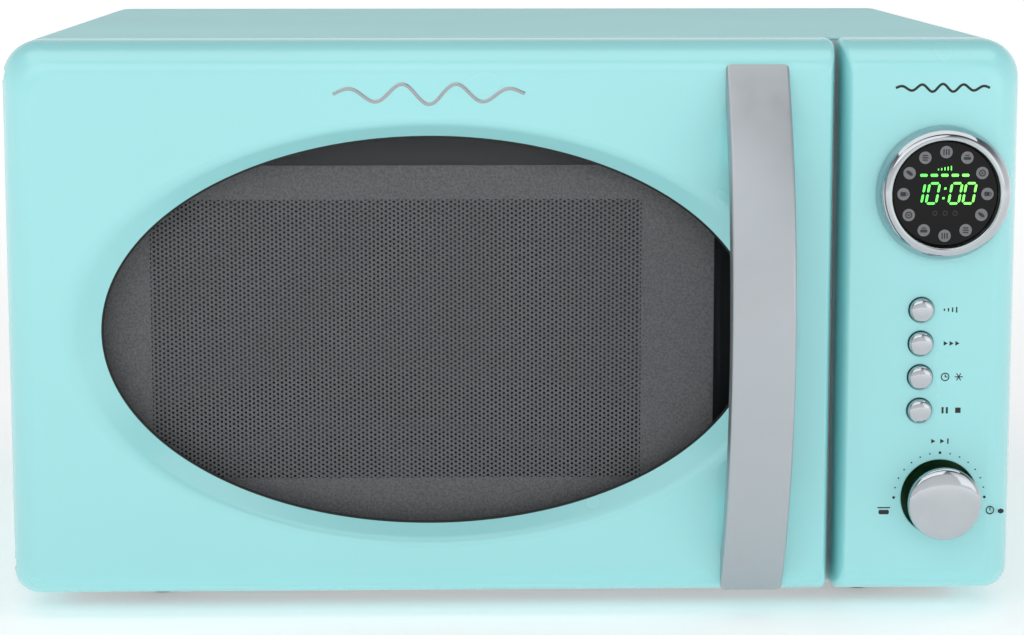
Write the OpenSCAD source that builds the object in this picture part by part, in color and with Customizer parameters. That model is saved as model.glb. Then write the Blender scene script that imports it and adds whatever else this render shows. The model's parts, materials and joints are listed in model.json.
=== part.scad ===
// Countertop microwave oven: a steel case with a side-hinged moulded door, an oval window,
// a bowed bar handle and a control panel with a round display, four buttons and a dial.
// Front faces -Y. The origin is at the bottom centre of the whole oven's box.

/* [Overall] */
// Width of the body
case_w = 447; // [372:1:540]
// Height of the body without its feet
case_h = 248; // [206:1:300]
// Depth of the case from its front edge to its rear edge
case_d = 300; // [280:1:370]
// Height of the feet
foot_h = 8; // [7:0.5:16]
// Depth of the door and control panel in front of the case
front_depth = 28; // [27:0.5:34]
// Radius of the two upper corners
top_r = 17; // [10:0.5:22]
// Radius of the two lower corners
bottom_r = 10.5; // [8:0.5:14]
// Thickness of the case sheet
sheet_t = 0.8; // [0.6:0.1:1]
// Thickness of the moulded door and panel walls
wall = 2.5; // [2:0.1:3]
// Clear space between the door's back and the front frame
door_gap = 0.5; // [0.4:0.1:0.8]
// Gap between the door and the control panel
panel_gap = 2.5; // [2:0.1:4]
// Width of the control panel
panel_w = 79.7; // [76:0.1:96]

/* [Rolled front edges] */
// How far the roll reaches in from the outer edge
roll_in = 14; // [10:0.5:16]
// How far the roll reaches back from the face
roll_deep = 22; // [18:0.5:24]
// Share of the roll along the gap between door and panel
gap_roll = 0.3; // [0.2:0.05:0.5]
// Corner radius next to the gap
gap_r = 3; // [2:0.5:5]

/* [Window] */
// Distance from the window glass to the door's sides, on average
window_side = 37.8; // [35:0.1:45]
// Distance from the window glass to the door's top and bottom, on average
window_top = 37.4; // [32:0.1:45]
// How far the window's centre lies right of the door's centre
window_shift = 4.6; // [0:0.1:6]
// How far the window's centre lies below the door's centre
window_drop = 4.3; // [0:0.1:6]
// Depth of the sloping rim
rim_depth = 10; // [8:0.5:11]
// Width of the sloping rim at the left and right
rim_x = 15.9; // [10:0.1:19]
// Width of the sloping rim at the top and bottom
rim_z = 6.5; // [4:0.1:8]
// Thickness of the window glass
glass_t = 2.4; // [2:0.1:3]
// How far the glass reaches behind its rim
glass_lap = 4; // [3:0.5:5]

/* [Handle] */
// Width of the handle bar
handle_w = 27.5; // [23:0.5:33]
// How far the handle stands out of the door's face
handle_proud = 38; // [32:1:46]
// Distance from the handle's centre to the door's right edge
handle_edge = 35.5; // [32:0.5:40]
// Distance from the door's lower edge to the handle's lower end
handle_low = 4; // [3:0.5:10]
// Distance from the door's upper edge to the handle's upper end
handle_high = 10; // [6:0.5:14]
// Depth of the handle's turned-back side walls
handle_side = 9; // [7.5:0.5:11]
// Thickness of the handle's metal
handle_t = 1.4; // [1.2:0.1:1.8]
// Height of each block behind the handle's ends
block_h = 44; // [37:1:53]

/* [Oven cavity] */
// Space between the case's left side and the cavity
cavity_left = 22.5; // [20:0.5:27]
// Space between the cavity and the door's right edge
cavity_right = 46.3; // [42:0.1:56]
// Space under the cavity floor, above the case's underside
cavity_under = 21; // [20:0.5:26]
// Space over the cavity
cavity_over = 21; // [18:0.5:26]
// Space behind the cavity
cavity_behind = 11; // [9:0.5:20]
// Depth of the round well in the floor
well_deep = 4; // [3:0.5:4.5]
// Space between the glass tray and the nearest cavity wall
tray_gap = 16.5; // [14:0.5:20]

/* [Turntable] */
// Thickness of the glass tray
tray_t = 4; // [3.4:0.2:4.8]
// Height of the tray's rim above its floor
tray_rim = 9; // [8:0.5:11]
// Radius of the support wheels
wheel_r = 8; // [7:0.5:9]
// Width of the support wheels
wheel_w = 7; // [6:0.5:8]
// Radius of the circle that the wheels run on
track_r = 93.5; // [78:0.5:94]
// Radial clearance of a running fit
run_fit = 0.05; // [0.03:0.01:0.08]

/* [Controls] */
// Distance from the case's right side to the display's centre
display_in = 35.9; // [34:0.1:42]
// Distance from the case's top to the display's centre
display_down = 66.1; // [56:0.1:72]
// Outer radius of the display's chrome ring
bezel_r = 29.5; // [27:0.1:31]
// Radius of the display's lens
lens_r = 22.9; // [20:0.1:24]
// How far the chrome ring stands out
bezel_proud = 9; // [7:0.5:11]
// How far the lens stands out
lens_proud = 6; // [4:0.5:6.5]
// Distance from the case's right side to the buttons' centres
button_in = 44.2; // [40:0.1:46]
// Distance from the case's top to the highest button
button_down = 118; // [112:0.5:125]
// Spacing of the buttons
button_pitch = 15; // [13:0.5:16]
// Radius of a button
button_r = 5.3; // [4.4:0.1:6]
// How far a button stands out
button_proud = 3.6; // [3:0.1:4.4]
// Travel of a button
button_travel = 1; // [0.8:0.1:1.2]
// Distance from the case's right side to the dial's centre
knob_in = 34.5; // [32:0.1:40]
// Distance from the case's underside to the dial's centre
knob_up = 45.7; // [42:0.1:52]
// Radius of the dial at its base
knob_r = 16.2; // [14:0.1:19]
// How far the dial stands out
knob_proud = 16; // [13:0.5:19]
// Radius of the panel's hole round the dial
knob_hole_r = 17; // [16.7:0.1:20]

/* [Door hinge and latch] */
// Distance from the door's left side to the hinge line
hinge_in = 8; // [8:0.1:9]
// Distance from the door's back to the hinge line
hinge_deep = 10; // [9.5:0.5:11]
// Radius of the hinge pins
hinge_pin_r = 2.5; // [2:0.1:2.8]
// Radius of the door's rear edge on the hinge side
hinge_edge_r = 7; // [6.5:0.5:7.5]
// Distance from the latch to the door's right edge
latch_in = 17.3; // [16:0.1:19]
// Upward travel that frees the latch hooks
latch_travel = 4; // [3.6:0.1:4.8]
// Height between the two latch hooks
latch_span = 120; // [100:1:144]

/* [Hidden] */
$fn = 64;

// Colours of the finishes
aqua = "#A9E0E2";
chrome = "#BCC3C8";
steel = "#A8ABAD";
dark_steel = "#6E7173";
black = "#1B1C1E";

// Side planes of the body
left_x = -case_w / 2;
right_x = case_w / 2;
under_z = foot_h;
top_z = foot_h + case_h;
mid_z = (under_z + top_z) / 2;

// Depth planes: the handle's front, the door's face, the front and the rear of the case
back_y = (handle_proud + front_depth + case_d) / 2;
seam_y = back_y - case_d;
face_y = seam_y - front_depth;
door_back_y = seam_y - door_gap;

// Door and panel edges
panel_x0 = right_x - panel_w;
door_x1 = panel_x0 - panel_gap;
door_w = door_x1 - left_x;

// Front frame and cavity planes
frame_t = 1;
cav_t = 0.8;
cav_x0 = left_x + cavity_left;
cav_x1 = door_x1 - cavity_right;
cav_z0 = under_z + cavity_under;
cav_z1 = top_z - cavity_over;
cav_y0 = seam_y + frame_t;
cav_y1 = back_y - cavity_behind;
cav_cx = (cav_x0 + cav_x1) / 2;
cav_cy = (cav_y0 + cav_y1) / 2;

// Rear panel and its lip
rear_recess = 3;
rear_lip = 10;
lip_y1 = back_y - rear_recess;
lip_y0 = lip_y1 - sheet_t;
rear_t = 1;
rear_y0 = lip_y0 - rear_t;

// Case underside
lip_under = 20;
base_t = 1;
base_z0 = under_z + sheet_t;
base_z1 = base_z0 + base_t;
screw_r = 1.75;
head_r = 3.5;
head_h = 2.2;

// Feet
foot_side = 62.5;
foot_front = 24;
foot_rear = 30;
foot_r = 9;
foot_seat = 4;
foot_places = [for (x = [left_x + foot_side, right_x - foot_side], y = [seam_y + foot_front, back_y - foot_rear])
    [x, y]];

// Window
win_cx = (left_x + door_x1) / 2 + window_shift;
win_cz = mid_z - window_drop;
win_a = door_w / 2 - window_side;
win_b = case_h / 2 - window_top;
glass_y0 = face_y + rim_depth;
glass_y1 = glass_y0 + glass_t;

// Screen behind the window
screen_lap = 8;
screen_t = 0.8;
screen_deep = 20;
screen_y0 = face_y + screen_deep;
screen_y1 = screen_y0 + screen_t;
cover_t = 2;
cover_y0 = door_back_y - cover_t;
cover_lap = 4;

// Handle arc, seen from the side
handle_z0 = under_z + handle_low;
handle_z1 = top_z - handle_high;
handle_mid_z = (handle_z0 + handle_z1) / 2;
handle_half = (handle_z1 - handle_z0) / 2;
handle_r = (pow(handle_half, 2) + pow(handle_proud, 2)) / (2 * handle_proud);
handle_cy = face_y - handle_proud + handle_r;
handle_cx = door_x1 - handle_edge;
handle_angle = asin(handle_half / handle_r);
block_fit = 0.3;

// Hinge
hinge_x = left_x + hinge_in;
hinge_y = door_back_y - hinge_deep;
arm_half = 4;
arm_t = 3;
arm_end = 16;
arm_top_z = top_z - arm_end;
arm_low_z = under_z + arm_end - 1;
arm_clear = 0.4;
boss_r = 5.5;
boss_h = 10;
pin_len = 8.5;

// Latch
latch_x = door_x1 - latch_in;
latch_t = 3;
latch_y0 = face_y + 14;
latch_y1 = face_y + 24;
hook_h = 8;
hook_y1 = seam_y + 17;
tooth_deep = 3.5;
tooth_len = 6;
hook_zs = [mid_z - latch_span / 2, mid_z + latch_span / 2];
latch_z0 = hook_zs[0] - 12;
latch_z1 = hook_zs[1] + hook_h + 12;
guide_clear = 0.35;
slot_clear = 0.7;

// Turntable heights
well_r = min(cav_x1 - cav_x0, cav_y1 - cav_y0) / 2 - 19;
well_z = cav_z0 - well_deep;
tray_r = min(cav_x1 - cav_x0, cav_y1 - cav_y0) / 2 - tray_gap;
roll_gap = 0.3;
wheel_z = well_z + wheel_r + roll_gap;
tray_z = wheel_z + wheel_r + roll_gap;
axle_r = 2;
ring_w = 8;
ring_h = 5;
ring_r1 = track_r - wheel_w / 2 - 0.6;
axle_end = track_r + wheel_w / 2 + 0.5;
shaft_r = 3.5;
coupler_r = 17;
lobe_h = 5;
motor_r = 24;
WHEELS = 3;

// Controls
display_x = right_x - display_in;
display_z = top_z - display_down;
button_x = right_x - button_in;
button_z = top_z - button_down;
knob_x = right_x - knob_in;
knob_z = under_z + knob_up;
BUTTONS = 4;
button_clear = 0.3;
panel_back_y = face_y + wall;
board_y0 = face_y + 21;
board_t = 1.6;
board_gap = 8;
tact_h = 5;
board_x0 = panel_x0 + board_gap;
board_x1 = right_x - board_gap;
board_z0 = under_z + 22;
board_z1 = top_z - 34;
board_screw_places = [for (x = [board_x0 + 5, board_x1 - 5], z = [board_z0 + 6, board_z1 - 6]) [x, z]];

// Electrical compartment
comp_x0 = cav_x1 + cav_t;
comp_x1 = right_x - sheet_t;
comp_cx = (comp_x0 + comp_x1) / 2;
fan_r = 44;
fan_z = mid_z + 38;
shroud_y0 = cav_y1 - 44;
magnetron_y = shroud_y0 - 52;
magnetron_z = fan_z;
transformer_y = seam_y + 92;
gland_r = 6;
gland_z = base_z1 + 26;

function ellipse_points(a, b, n = 96) = [for (i = [0:n - 1]) [a * cos(360 * i / n), b * sin(360 * i / n)]];

// A flat outline in X and Z, given a thickness along Y
module slab_y(y0, y1) {
    translate([0, y1, 0]) rotate([90, 0, 0]) linear_extrude(y1 - y0) children();
}

// A cylinder along Y from one plane to another
module rod_y(x, z, r, y0, y1) {
    translate([x, y0, z]) rotate([-90, 0, 0]) cylinder(r = r, h = y1 - y0);
}

// A box from its lowest to its highest corner
module box(low, high) {
    translate(low) cube(high - low);
}

// Points of a quarter-circle corner
function corner(x, z, r, from, steps) =
    [for (i = [0:steps]) [x + r * cos(from + 90 * i / steps), z + r * sin(from + 90 * i / steps)]];

// Points of a rectangle with its own radius at the upper left, upper right, lower right and lower left
function outline_points(x0, x1, z0, z1, r, steps) = concat(
    corner(x1 - r[1], z1 - r[1], r[1], 0, steps), corner(x0 + r[0], z1 - r[0], r[0], 90, steps),
    corner(x0 + r[3], z0 + r[3], r[3], 180, steps), corner(x1 - r[2], z0 + r[2], r[2], 270, steps));

module plate_outline(x0, x1, z0, z1, r, steps = 10) {
    polygon(outline_points(x0, x1, z0, z1, r, steps));
}

// Cross-section of the case, drawn in by an inset
module case_outline(inset) {
    plate_outline(left_x + inset, right_x - inset, under_z + inset, top_z - inset,
        [top_r - inset, top_r - inset, bottom_r - inset, bottom_r - inset]);
}

// Solid through a row of closed rings with the same number of points each
module through_rings(rings) {
    n = len(rings[0]);
    last = len(rings) - 1;
    polyhedron(
        points = [for (ring = rings, p = ring) p],
        faces = concat(
            [[for (k = [n - 1:-1:0]) k]],
            [for (i = [0:last - 1], k = [0:n - 1]) [i * n + k, (i + 1) * n + (k + 1) % n, (i + 1) * n + k]],
            [for (i = [0:last - 1], k = [0:n - 1]) [i * n + k, i * n + (k + 1) % n, (i + 1) * n + (k + 1) % n]],
            [[for (k = [0:n - 1]) last * n + k]]),
        convexity = 8);
}

// Moulding with a face whose edges roll back, drawn in by an inset
module pillow(x0, x1, r, roll_x0, roll_x1, inset, y_rear) {
    steps = 6;
    through_rings(concat(
        [for (i = [0:steps])
            let (
                turn = 90 - 90 * i / steps,
                run = roll_in * (1 - cos(turn)),
                y = face_y + inset + roll_deep * (1 - sin(turn)))
            [for (p = outline_points(x0 + inset + roll_x0 * run, x1 - inset - roll_x1 * run,
                under_z + inset + run, top_z - inset - run, r, 6)) [p[0], y, p[1]]]],
        [[for (p = outline_points(x0 + inset, x1 - inset, under_z + inset, top_z - inset, r, 6))
            [p[0], y_rear, p[1]]]]));
}

// ---- Case ----

side_vents = 14;
vent_pitch = 6;
vent_w = 2.4;
vent_len = 26;

module outer_case() color(aqua) {
    difference() {
        slab_y(seam_y, back_y) case_outline(0);
        slab_y(seam_y - 1, back_y + 1) case_outline(sheet_t);
        // Open underside between the two turned-in lips
        box([left_x + lip_under, seam_y - 1, under_z - 1], [right_x - lip_under, back_y + 1, under_z + 5]);
        // Cooling slots in both sides
        for (side = [left_x, right_x], row = [0, 1], i = [0:side_vents - 1])
            translate([side - 5, back_y - 40 - i * vent_pitch - vent_w, under_z + 40 + row * 40])
                cube([10, vent_w, vent_len]);
    }
    // Rear lip that the rear panel is screwed to
    difference() {
        slab_y(lip_y0, lip_y1) case_outline(sheet_t / 2);
        slab_y(lip_y0 - 1, lip_y1 + 1) case_outline(rear_lip);
        box([left_x + lip_under, lip_y0 - 1, under_z - 1], [right_x - lip_under, lip_y1 + 1, under_z + rear_lip + 1]);
        for (p = case_screw_places) rod_y(p[0], p[1], screw_r, lip_y0 - 1, lip_y1 + 1);
    }
}

case_screw_in = 5.8;
case_screw_places = [
    [left_x + case_screw_in, under_z + 60], [left_x + case_screw_in, top_z - 60],
    [right_x - case_screw_in, under_z + 60], [right_x - case_screw_in, top_z - 60],
    [left_x + 110, top_z - case_screw_in], [right_x - 110, top_z - case_screw_in]];

// Pan-head screw with its head at the origin and its shank along -Z
module pan_screw(shank) {
    translate([0, 0, -shank]) cylinder(r = screw_r, h = shank);
    difference() {
        cylinder(r = head_r, h = head_h);
        translate([-2.2, -0.4, head_h - 0.9]) cube([4.4, 0.8, 2]);
        translate([-0.4, -2.2, head_h - 0.9]) cube([0.8, 4.4, 2]);
    }
}

module case_screws() color(steel) {
    for (p = case_screw_places) translate([p[0], lip_y1, p[1]]) rotate([-90, 0, 0]) pan_screw(sheet_t + rear_t + 4);
    for (p = foot_places) translate([p[0], p[1], foot_seat]) rotate([180, 0, 0]) pan_screw(base_z1 - foot_seat);
}

base_side = bottom_r + 1;
flange_h = 9;

module base_plate() color(steel) {
    difference() {
        union() {
            box([left_x + base_side, seam_y + frame_t, base_z0], [right_x - base_side, rear_y0, base_z1]);
            for (x = [left_x + base_side, right_x - base_side - base_t])
                box([x, seam_y + frame_t, base_z0], [x + base_t, rear_y0, base_z1 + flange_h]);
        }
        for (p = foot_places) translate([p[0], p[1], 0]) cylinder(r = screw_r, h = top_z);
        // Air inlet slots under the compartment and under the cavity
        for (i = [0:7]) {
            translate([comp_cx - 30 + i * 8, back_y - 110, base_z0 - 1]) cube([3, 50, 3]);
            translate([cav_cx - 90 + i * 8, back_y - 90, base_z0 - 1]) cube([3, 40, 3]);
        }
    }
}

rear_rows = 10;
rear_cols = 9;

module rear_panel() color(steel) {
    difference() {
        slab_y(rear_y0, lip_y0) case_outline(sheet_t + 0.2);
        // Fan outlet slots
        for (row = [0:rear_rows - 1], col = [0:rear_cols - 1])
            translate([comp_cx - 50 + col * 11.4, rear_y0 - 1, fan_z - 42 + row * 8.6]) cube([8.4, 4, 3.4]);
        // Cavity exhaust slots
        for (col = [0:11])
            translate([left_x + 60 + col * 9, rear_y0 - 1, top_z - 52]) cube([3, 4, 24]);
        rod_y(comp_cx, gland_z, gland_r, rear_y0 - 1, lip_y0 + 1);
        for (p = case_screw_places) rod_y(p[0], p[1], screw_r, rear_y0 - 1, lip_y0 + 1);
    }
}

hook_slot_w = latch_t + 2 * slot_clear;

module front_frame() color(steel) {
    difference() {
        slab_y(seam_y, cav_y0) case_outline(sheet_t + 0.2);
        box([cav_x0, seam_y - 1, cav_z0], [cav_x1, cav_y0 + 1, cav_z1]);
        for (z = hook_zs)
            box([latch_x - hook_slot_w / 2, seam_y - 1, z - slot_clear],
                [latch_x + hook_slot_w / 2, cav_y0 + 1, z + hook_h + latch_travel + slot_clear]);
        for (z = [arm_top_z, arm_low_z])
            box([hinge_x - arm_half - 0.2, seam_y - 1, z - arm_t / 2 - 0.2],
                [hinge_x + arm_half + 0.2, cav_y0 + 1, z + arm_t / 2 + 0.2]);
        // Ventilation between the panel and the compartment
        for (i = [0:5]) box([panel_x0 + 12 + i * 9, seam_y - 1, mid_z - 20], [panel_x0 + 16 + i * 9, cav_y0 + 1, mid_z + 20]);
    }
}

module feet() color(black) {
    for (p = foot_places) translate([p[0], p[1], 0]) difference() {
        rotate_extrude() polygon([[0, 0], [foot_r - 2, 0], [foot_r - 1, 0.8], [foot_r, base_z0], [0, base_z0]]);
        translate([0, 0, -1]) cylinder(r = screw_r, h = base_z0 + 2);
        translate([0, 0, -1]) cylinder(r = head_r + 0.6, h = foot_seat + 1);
    }
}

// ---- Oven cavity ----

guide_w = 84;
guide_h = 62;
guide_out = 20;
lamp_y = cav_cy - 60;
lamp_z = cav_z1 - 46;
lamp_off = 7.5;

module oven_cavity() color("#5B5D60") {
    difference() {
        union() {
            difference() {
                box([cav_x0 - cav_t, cav_y0, cav_z0 - cav_t], [cav_x1 + cav_t, cav_y1 + cav_t, cav_z1 + cav_t]);
                box([cav_x0, cav_y0 - 1, cav_z0], [cav_x1, cav_y1, cav_z1]);
            }
            // Round well in the floor
            translate([cav_cx, cav_cy, well_z - cav_t]) cylinder(r = well_r + cav_t, h = well_deep);
        }
        translate([cav_cx, cav_cy, well_z]) cylinder(r = well_r, h = well_deep + 1);
        translate([cav_cx, cav_cy, well_z - 3]) cylinder(r = shaft_r + 2.5, h = 6);
        // Waveguide window
        box([cav_x1 - 1, magnetron_y - guide_w / 2 + 10, magnetron_z - guide_h / 2 + 10],
            [cav_x1 + 2, magnetron_y + guide_w / 2 - 10, magnetron_z + guide_h / 2 - 10]);
        // Lamp holes in the right wall and air holes in the left wall
        for (i = [-2:2], j = [-2:2])
            translate([cav_x1 - 1, lamp_y + i * 6, lamp_z + j * 6]) rotate([0, 90, 0]) cylinder(r = 1.6, h = 3);
        for (i = [0:11], j = [0:2])
            translate([cav_x0 - 2, cav_cy + 30 + i * 6, cav_z1 - 24 + j * 6]) rotate([0, 90, 0]) cylinder(r = 1.6, h = 3);
    }
}

module waveguide_cover() color("#B9B2A0") {
    box([cav_x1 - 0.6, magnetron_y - guide_w / 2, magnetron_z - guide_h / 2],
        [cav_x1, magnetron_y + guide_w / 2, magnetron_z + guide_h / 2]);
}

module waveguide() color(steel) {
    difference() {
        box([comp_x0, magnetron_y - guide_w / 2, magnetron_z - guide_h / 2],
            [comp_x0 + guide_out, magnetron_y + guide_w / 2, magnetron_z + guide_h / 2]);
        box([comp_x0 - 1, magnetron_y - guide_w / 2 + 1, magnetron_z - guide_h / 2 + 1],
            [comp_x0 + guide_out - 1, magnetron_y + guide_w / 2 - 1, magnetron_z + guide_h / 2 - 1]);
        translate([comp_x0 + 2, magnetron_y, magnetron_z]) rotate([0, 90, 0]) cylinder(r = 9, h = guide_out);
    }
}

// The magnetron lies on its side, with its antenna in the waveguide
yoke_w = 78;
yoke_d = 62;
yoke_x0 = comp_x0 + guide_out;
yoke_len = min(58, comp_x1 - yoke_x0 - 34);
fin_n = 7;
fin_pitch = (yoke_len - 16) / (fin_n - 1);

module magnetron() color(steel) {
    translate([yoke_x0, magnetron_y, magnetron_z]) {
        // Yoke of two end plates and two sides
        difference() {
            translate([0, -yoke_w / 2, -yoke_d / 2]) cube([yoke_len, yoke_w, yoke_d]);
            translate([2, -yoke_w / 2 + 2, -yoke_d]) cube([yoke_len - 4, yoke_w - 4, 2 * yoke_d]);
        }
        // Anode, filter box and antenna
        rotate([0, 90, 0]) cylinder(r = 18, h = yoke_len);
        translate([yoke_len, -25, -22]) cube([24, 50, 44]);
        translate([-guide_out + 5, 0, 0]) rotate([0, 90, 0]) cylinder(r = 7, h = guide_out);
    }
}

module magnetron_fins() color("#D5D8DA") {
    translate([yoke_x0 + 8, magnetron_y, magnetron_z]) difference() {
        union() for (i = [0:fin_n - 1])
            translate([i * fin_pitch, -yoke_w / 2 + 2, -yoke_d / 2 + 2]) cube([0.8, yoke_w - 4, yoke_d - 4]);
        translate([-1, 0, 0]) rotate([0, 90, 0]) cylinder(r = 18, h = yoke_len);
    }
}

// ---- Power supply ----

core_x = 82;
core_y = 62;
core_z = 70;
limb = 14;

module transformer_core() color(dark_steel) {
    translate([comp_cx - core_x / 2, transformer_y - core_y / 2, base_z1]) {
        difference() {
            translate([0, 0, 3]) cube([core_x, core_y, core_z]);
            for (x = [limb, core_x / 2 + limb / 2])
                translate([x, -1, 3 + limb]) cube([core_x / 2 - 1.5 * limb, core_y + 2, core_z - 2 * limb]);
        }
        translate([-6, 4, 0]) cube([core_x + 12, core_y - 8, 3]);
    }
}

module transformer_windings() color("#A5532E") {
    translate([comp_cx, transformer_y, base_z1 + 3 + limb]) for (coil = [[0.5, 17], [19, 20.5]])
        translate([0, 0, coil[0]]) difference() {
            translate([-core_x / 2 + limb + 1, -core_y / 2 - 16, 0]) cube([core_x - 2 * limb - 2, core_y + 32, coil[1]]);
            translate([-limb / 2 - 0.5, -core_y / 2 - 0.5, -1]) cube([limb + 1, core_y + 1, 40]);
        }
}

cap_r = 17;
cap_len = 70;
cap_y = transformer_y + core_y / 2 + 36;
cap_z = base_z1 + cap_r + 2;

module capacitor() color("#C9CBCD") {
    translate([comp_cx - cap_len / 2, cap_y, cap_z]) {
        for (y = [0, 18]) translate([0, y, 0]) rotate([0, 90, 0]) cylinder(r = cap_r, h = cap_len);
        translate([0, 0, -cap_r]) cube([cap_len, 18, 2 * cap_r]);
        for (y = [2, 16]) translate([-7, y - 3, -0.5]) cube([8, 6, 1]);
    }
}

module capacitor_clamp() color(steel) {
    translate([comp_cx - 8, cap_y, cap_z]) difference() {
        union() {
            for (y = [0, 18]) translate([0, y, 0]) rotate([0, 90, 0]) cylinder(r = cap_r + 1, h = 16);
            translate([0, 0, -cap_r - 1]) cube([16, 18, 2 * cap_r + 2]);
            translate([0, -cap_r - 12, -cap_r - 2]) cube([16, 42 + 2 * cap_r, 1]);
            for (y = [-cap_r - 1, cap_r + 18]) translate([0, y, -cap_r - 2]) cube([16, 1, cap_r + 2]);
        }
        for (y = [0, 18]) translate([-1, y, 0]) rotate([0, 90, 0]) cylinder(r = cap_r, h = 18);
        translate([-1, 0, -cap_r]) cube([18, 18, 2 * cap_r]);
    }
}

module hv_diode() color(black) {
    translate([comp_cx + 10, cap_y - cap_r - 13, base_z1]) {
        cube([22, 8, 8]);
        translate([-6, 3.5, 3.5]) cube([34, 1, 1]);
    }
}

module filter_board() color("#3C6B45") {
    z = top_z - 34;
    box([comp_x0 + 12, seam_y + 36, z], [comp_x1 - 16, seam_y + 116, z + 1.6]);
    translate([comp_x0 + 24, seam_y + 50, z]) cylinder(r = 9, h = 14);
    box([comp_x0 + 40, seam_y + 44, z], [comp_x0 + 66, seam_y + 54, z + 16]);
    box([comp_x0 + 40, seam_y + 70, z], [comp_x0 + 72, seam_y + 78, z + 9]);
    for (y = [seam_y + 39, seam_y + 110]) box([comp_x0, y, z - 1], [comp_x0 + 18, y + 4, z]);
}

// ---- Fan ----

motor_w = 46;
fan_y0 = shroud_y0 + 4;
blade_n = 5;
motor_y0 = fan_y0 + 18;
shroud_t = 2;

module fan_shroud() color("#8E9092") {
    difference() {
        union() {
            box([comp_x0 + 0.5, shroud_y0, fan_z - 58], [comp_x1 - 0.5, shroud_y0 + shroud_t, fan_z + 52]);
            rod_y(comp_cx, fan_z, fan_r + 4, shroud_y0, fan_y0 + 14);
            // Two posts that carry the motor
            for (x = [comp_cx - fan_r - 2, comp_cx + fan_r + 2]) rod_y(x, fan_z, 3, shroud_y0, motor_y0 + 8);
            box([comp_cx - fan_r - 5, motor_y0 + 6, fan_z - 3], [comp_cx + fan_r + 5, motor_y0 + 8, fan_z + 3]);
        }
        rod_y(comp_cx, fan_z, fan_r + 2, shroud_y0 - 1, fan_y0 + 15);
        rod_y(comp_cx, fan_z, 9, motor_y0 - 1, motor_y0 + 20);
    }
}

module fan_motor() color(dark_steel) {
    difference() {
        union() {
            translate([comp_cx - motor_w / 2, motor_y0 + 8, fan_z - motor_w / 2]) cube([motor_w, 12, motor_w]);
            rod_y(comp_cx, fan_z, 8.5, motor_y0, motor_y0 + 12);
        }
        rod_y(comp_cx, fan_z, 2 + run_fit, motor_y0 - 1, motor_y0 + 14);
    }
    color("#A5532E") translate([comp_cx - 11, motor_y0 + 5, fan_z - motor_w / 2 - 3]) cube([22, 14, 15]);
}

module fan_rotor() color("#D8DADB") {
    difference() {
        union() {
            rod_y(comp_cx, fan_z, 13, fan_y0, fan_y0 + 14);
            for (i = [0:blade_n - 1])
                translate([comp_cx, fan_y0 + 7, fan_z]) rotate([0, i * 360 / blade_n, 0])
                    translate([11, 0, 0]) rotate([32, 0, 0]) translate([0, -0.7, -10.5]) cube([fan_r - 13, 1.4, 21]);
        }
        rod_y(comp_cx, fan_z, 2, fan_y0 + 3, fan_y0 + 20);
    }
    color(steel) rod_y(comp_cx, fan_z, 2, fan_y0 + 3, motor_y0 + 12);
}

// ---- Lamp and cut-out ----

module lamp_holder() color("#E8E4D8") {
    difference() {
        translate([comp_x0 + lamp_off, lamp_y, lamp_z - 38]) cylinder(r = 9, h = 16);
        translate([comp_x0 + lamp_off, lamp_y, lamp_z - 34]) cylinder(r = 6.5, h = 14);
        box([comp_x0 - 12, lamp_y - 12, lamp_z - 40], [comp_x0, lamp_y + 12, lamp_z]);
    }
}

module cavity_lamp() color("#F2EBD2") {
    translate([comp_x0 + lamp_off, lamp_y, lamp_z]) {
        translate([0, 0, -34]) cylinder(r = 6.5, h = 14);
        translate([0, 0, -20]) cylinder(r = 5, h = 26, $fn = 32);
        translate([0, 0, 6]) sphere(r = 5, $fn = 32);
    }
}

module thermal_cutout() color(black) {
    translate([comp_x0, cav_cy - 20, cav_z0 + 90]) rotate([0, 90, 0]) {
        cylinder(r = 8, h = 7);
        translate([0, 0, 0]) linear_extrude(1) square([30, 8], center = true);
        for (x = [-4, 4]) translate([x - 0.4, -3, 7]) cube([0.8, 6, 7]);
    }
}

// ---- Latch board and switches ----

module latch_board() color("#D9DBD8") {
    difference() {
        box([latch_x - 9, cav_y0, latch_z0 - 6], [latch_x + 9, cav_y0 + 24, latch_z1 + 10]);
        box([latch_x - 7, cav_y0 + 5, latch_z0 - 4], [latch_x + 10, cav_y0 + 25, latch_z1 + 8]);
        for (z = hook_zs)
            box([latch_x - hook_slot_w / 2, cav_y0 - 1, z - slot_clear],
                [latch_x + hook_slot_w / 2, cav_y0 + 6, z + hook_h + latch_travel + slot_clear]);
    }
    // Straps to the front frame above and below
    for (z = [latch_z0 - 14, latch_z1 + 9]) box([latch_x - 7, cav_y0, z], [latch_x + 7, cav_y0 + 2, z + 6]);
}

switch_h = 25;
switch_n = 3;
switch_pitch = (latch_span - 23 - switch_h) / (switch_n - 1);

module door_switches() color("#2C2C30") {
    for (i = [0:switch_n - 1])
        translate([latch_x - 6.8, cav_y0 + 8, hook_zs[0] + 16 + i * switch_pitch]) {
            cube([10, 16, switch_h]);
            for (h = [4, 12, 20]) translate([3, 16, h]) cube([4, 7, 0.8]);
            translate([3, -2, 11]) cube([4, 3, 4]);
        }
}

// ---- Turntable ----

shaft_top = tray_z - 4;
motor_top = well_z - cav_t - 0.2;

module turntable_motor() color(steel) {
    translate([cav_cx, cav_cy, 0]) difference() {
        union() {
            translate([0, 0, base_z1]) cylinder(r = motor_r, h = motor_top - base_z1);
            translate([-motor_r - 8, -6, motor_top - 1]) cube([2 * motor_r + 16, 12, 1]);
        }
        translate([0, 0, base_z1 + 3]) cylinder(r = shaft_r + run_fit, h = motor_top);
    }
}

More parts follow.
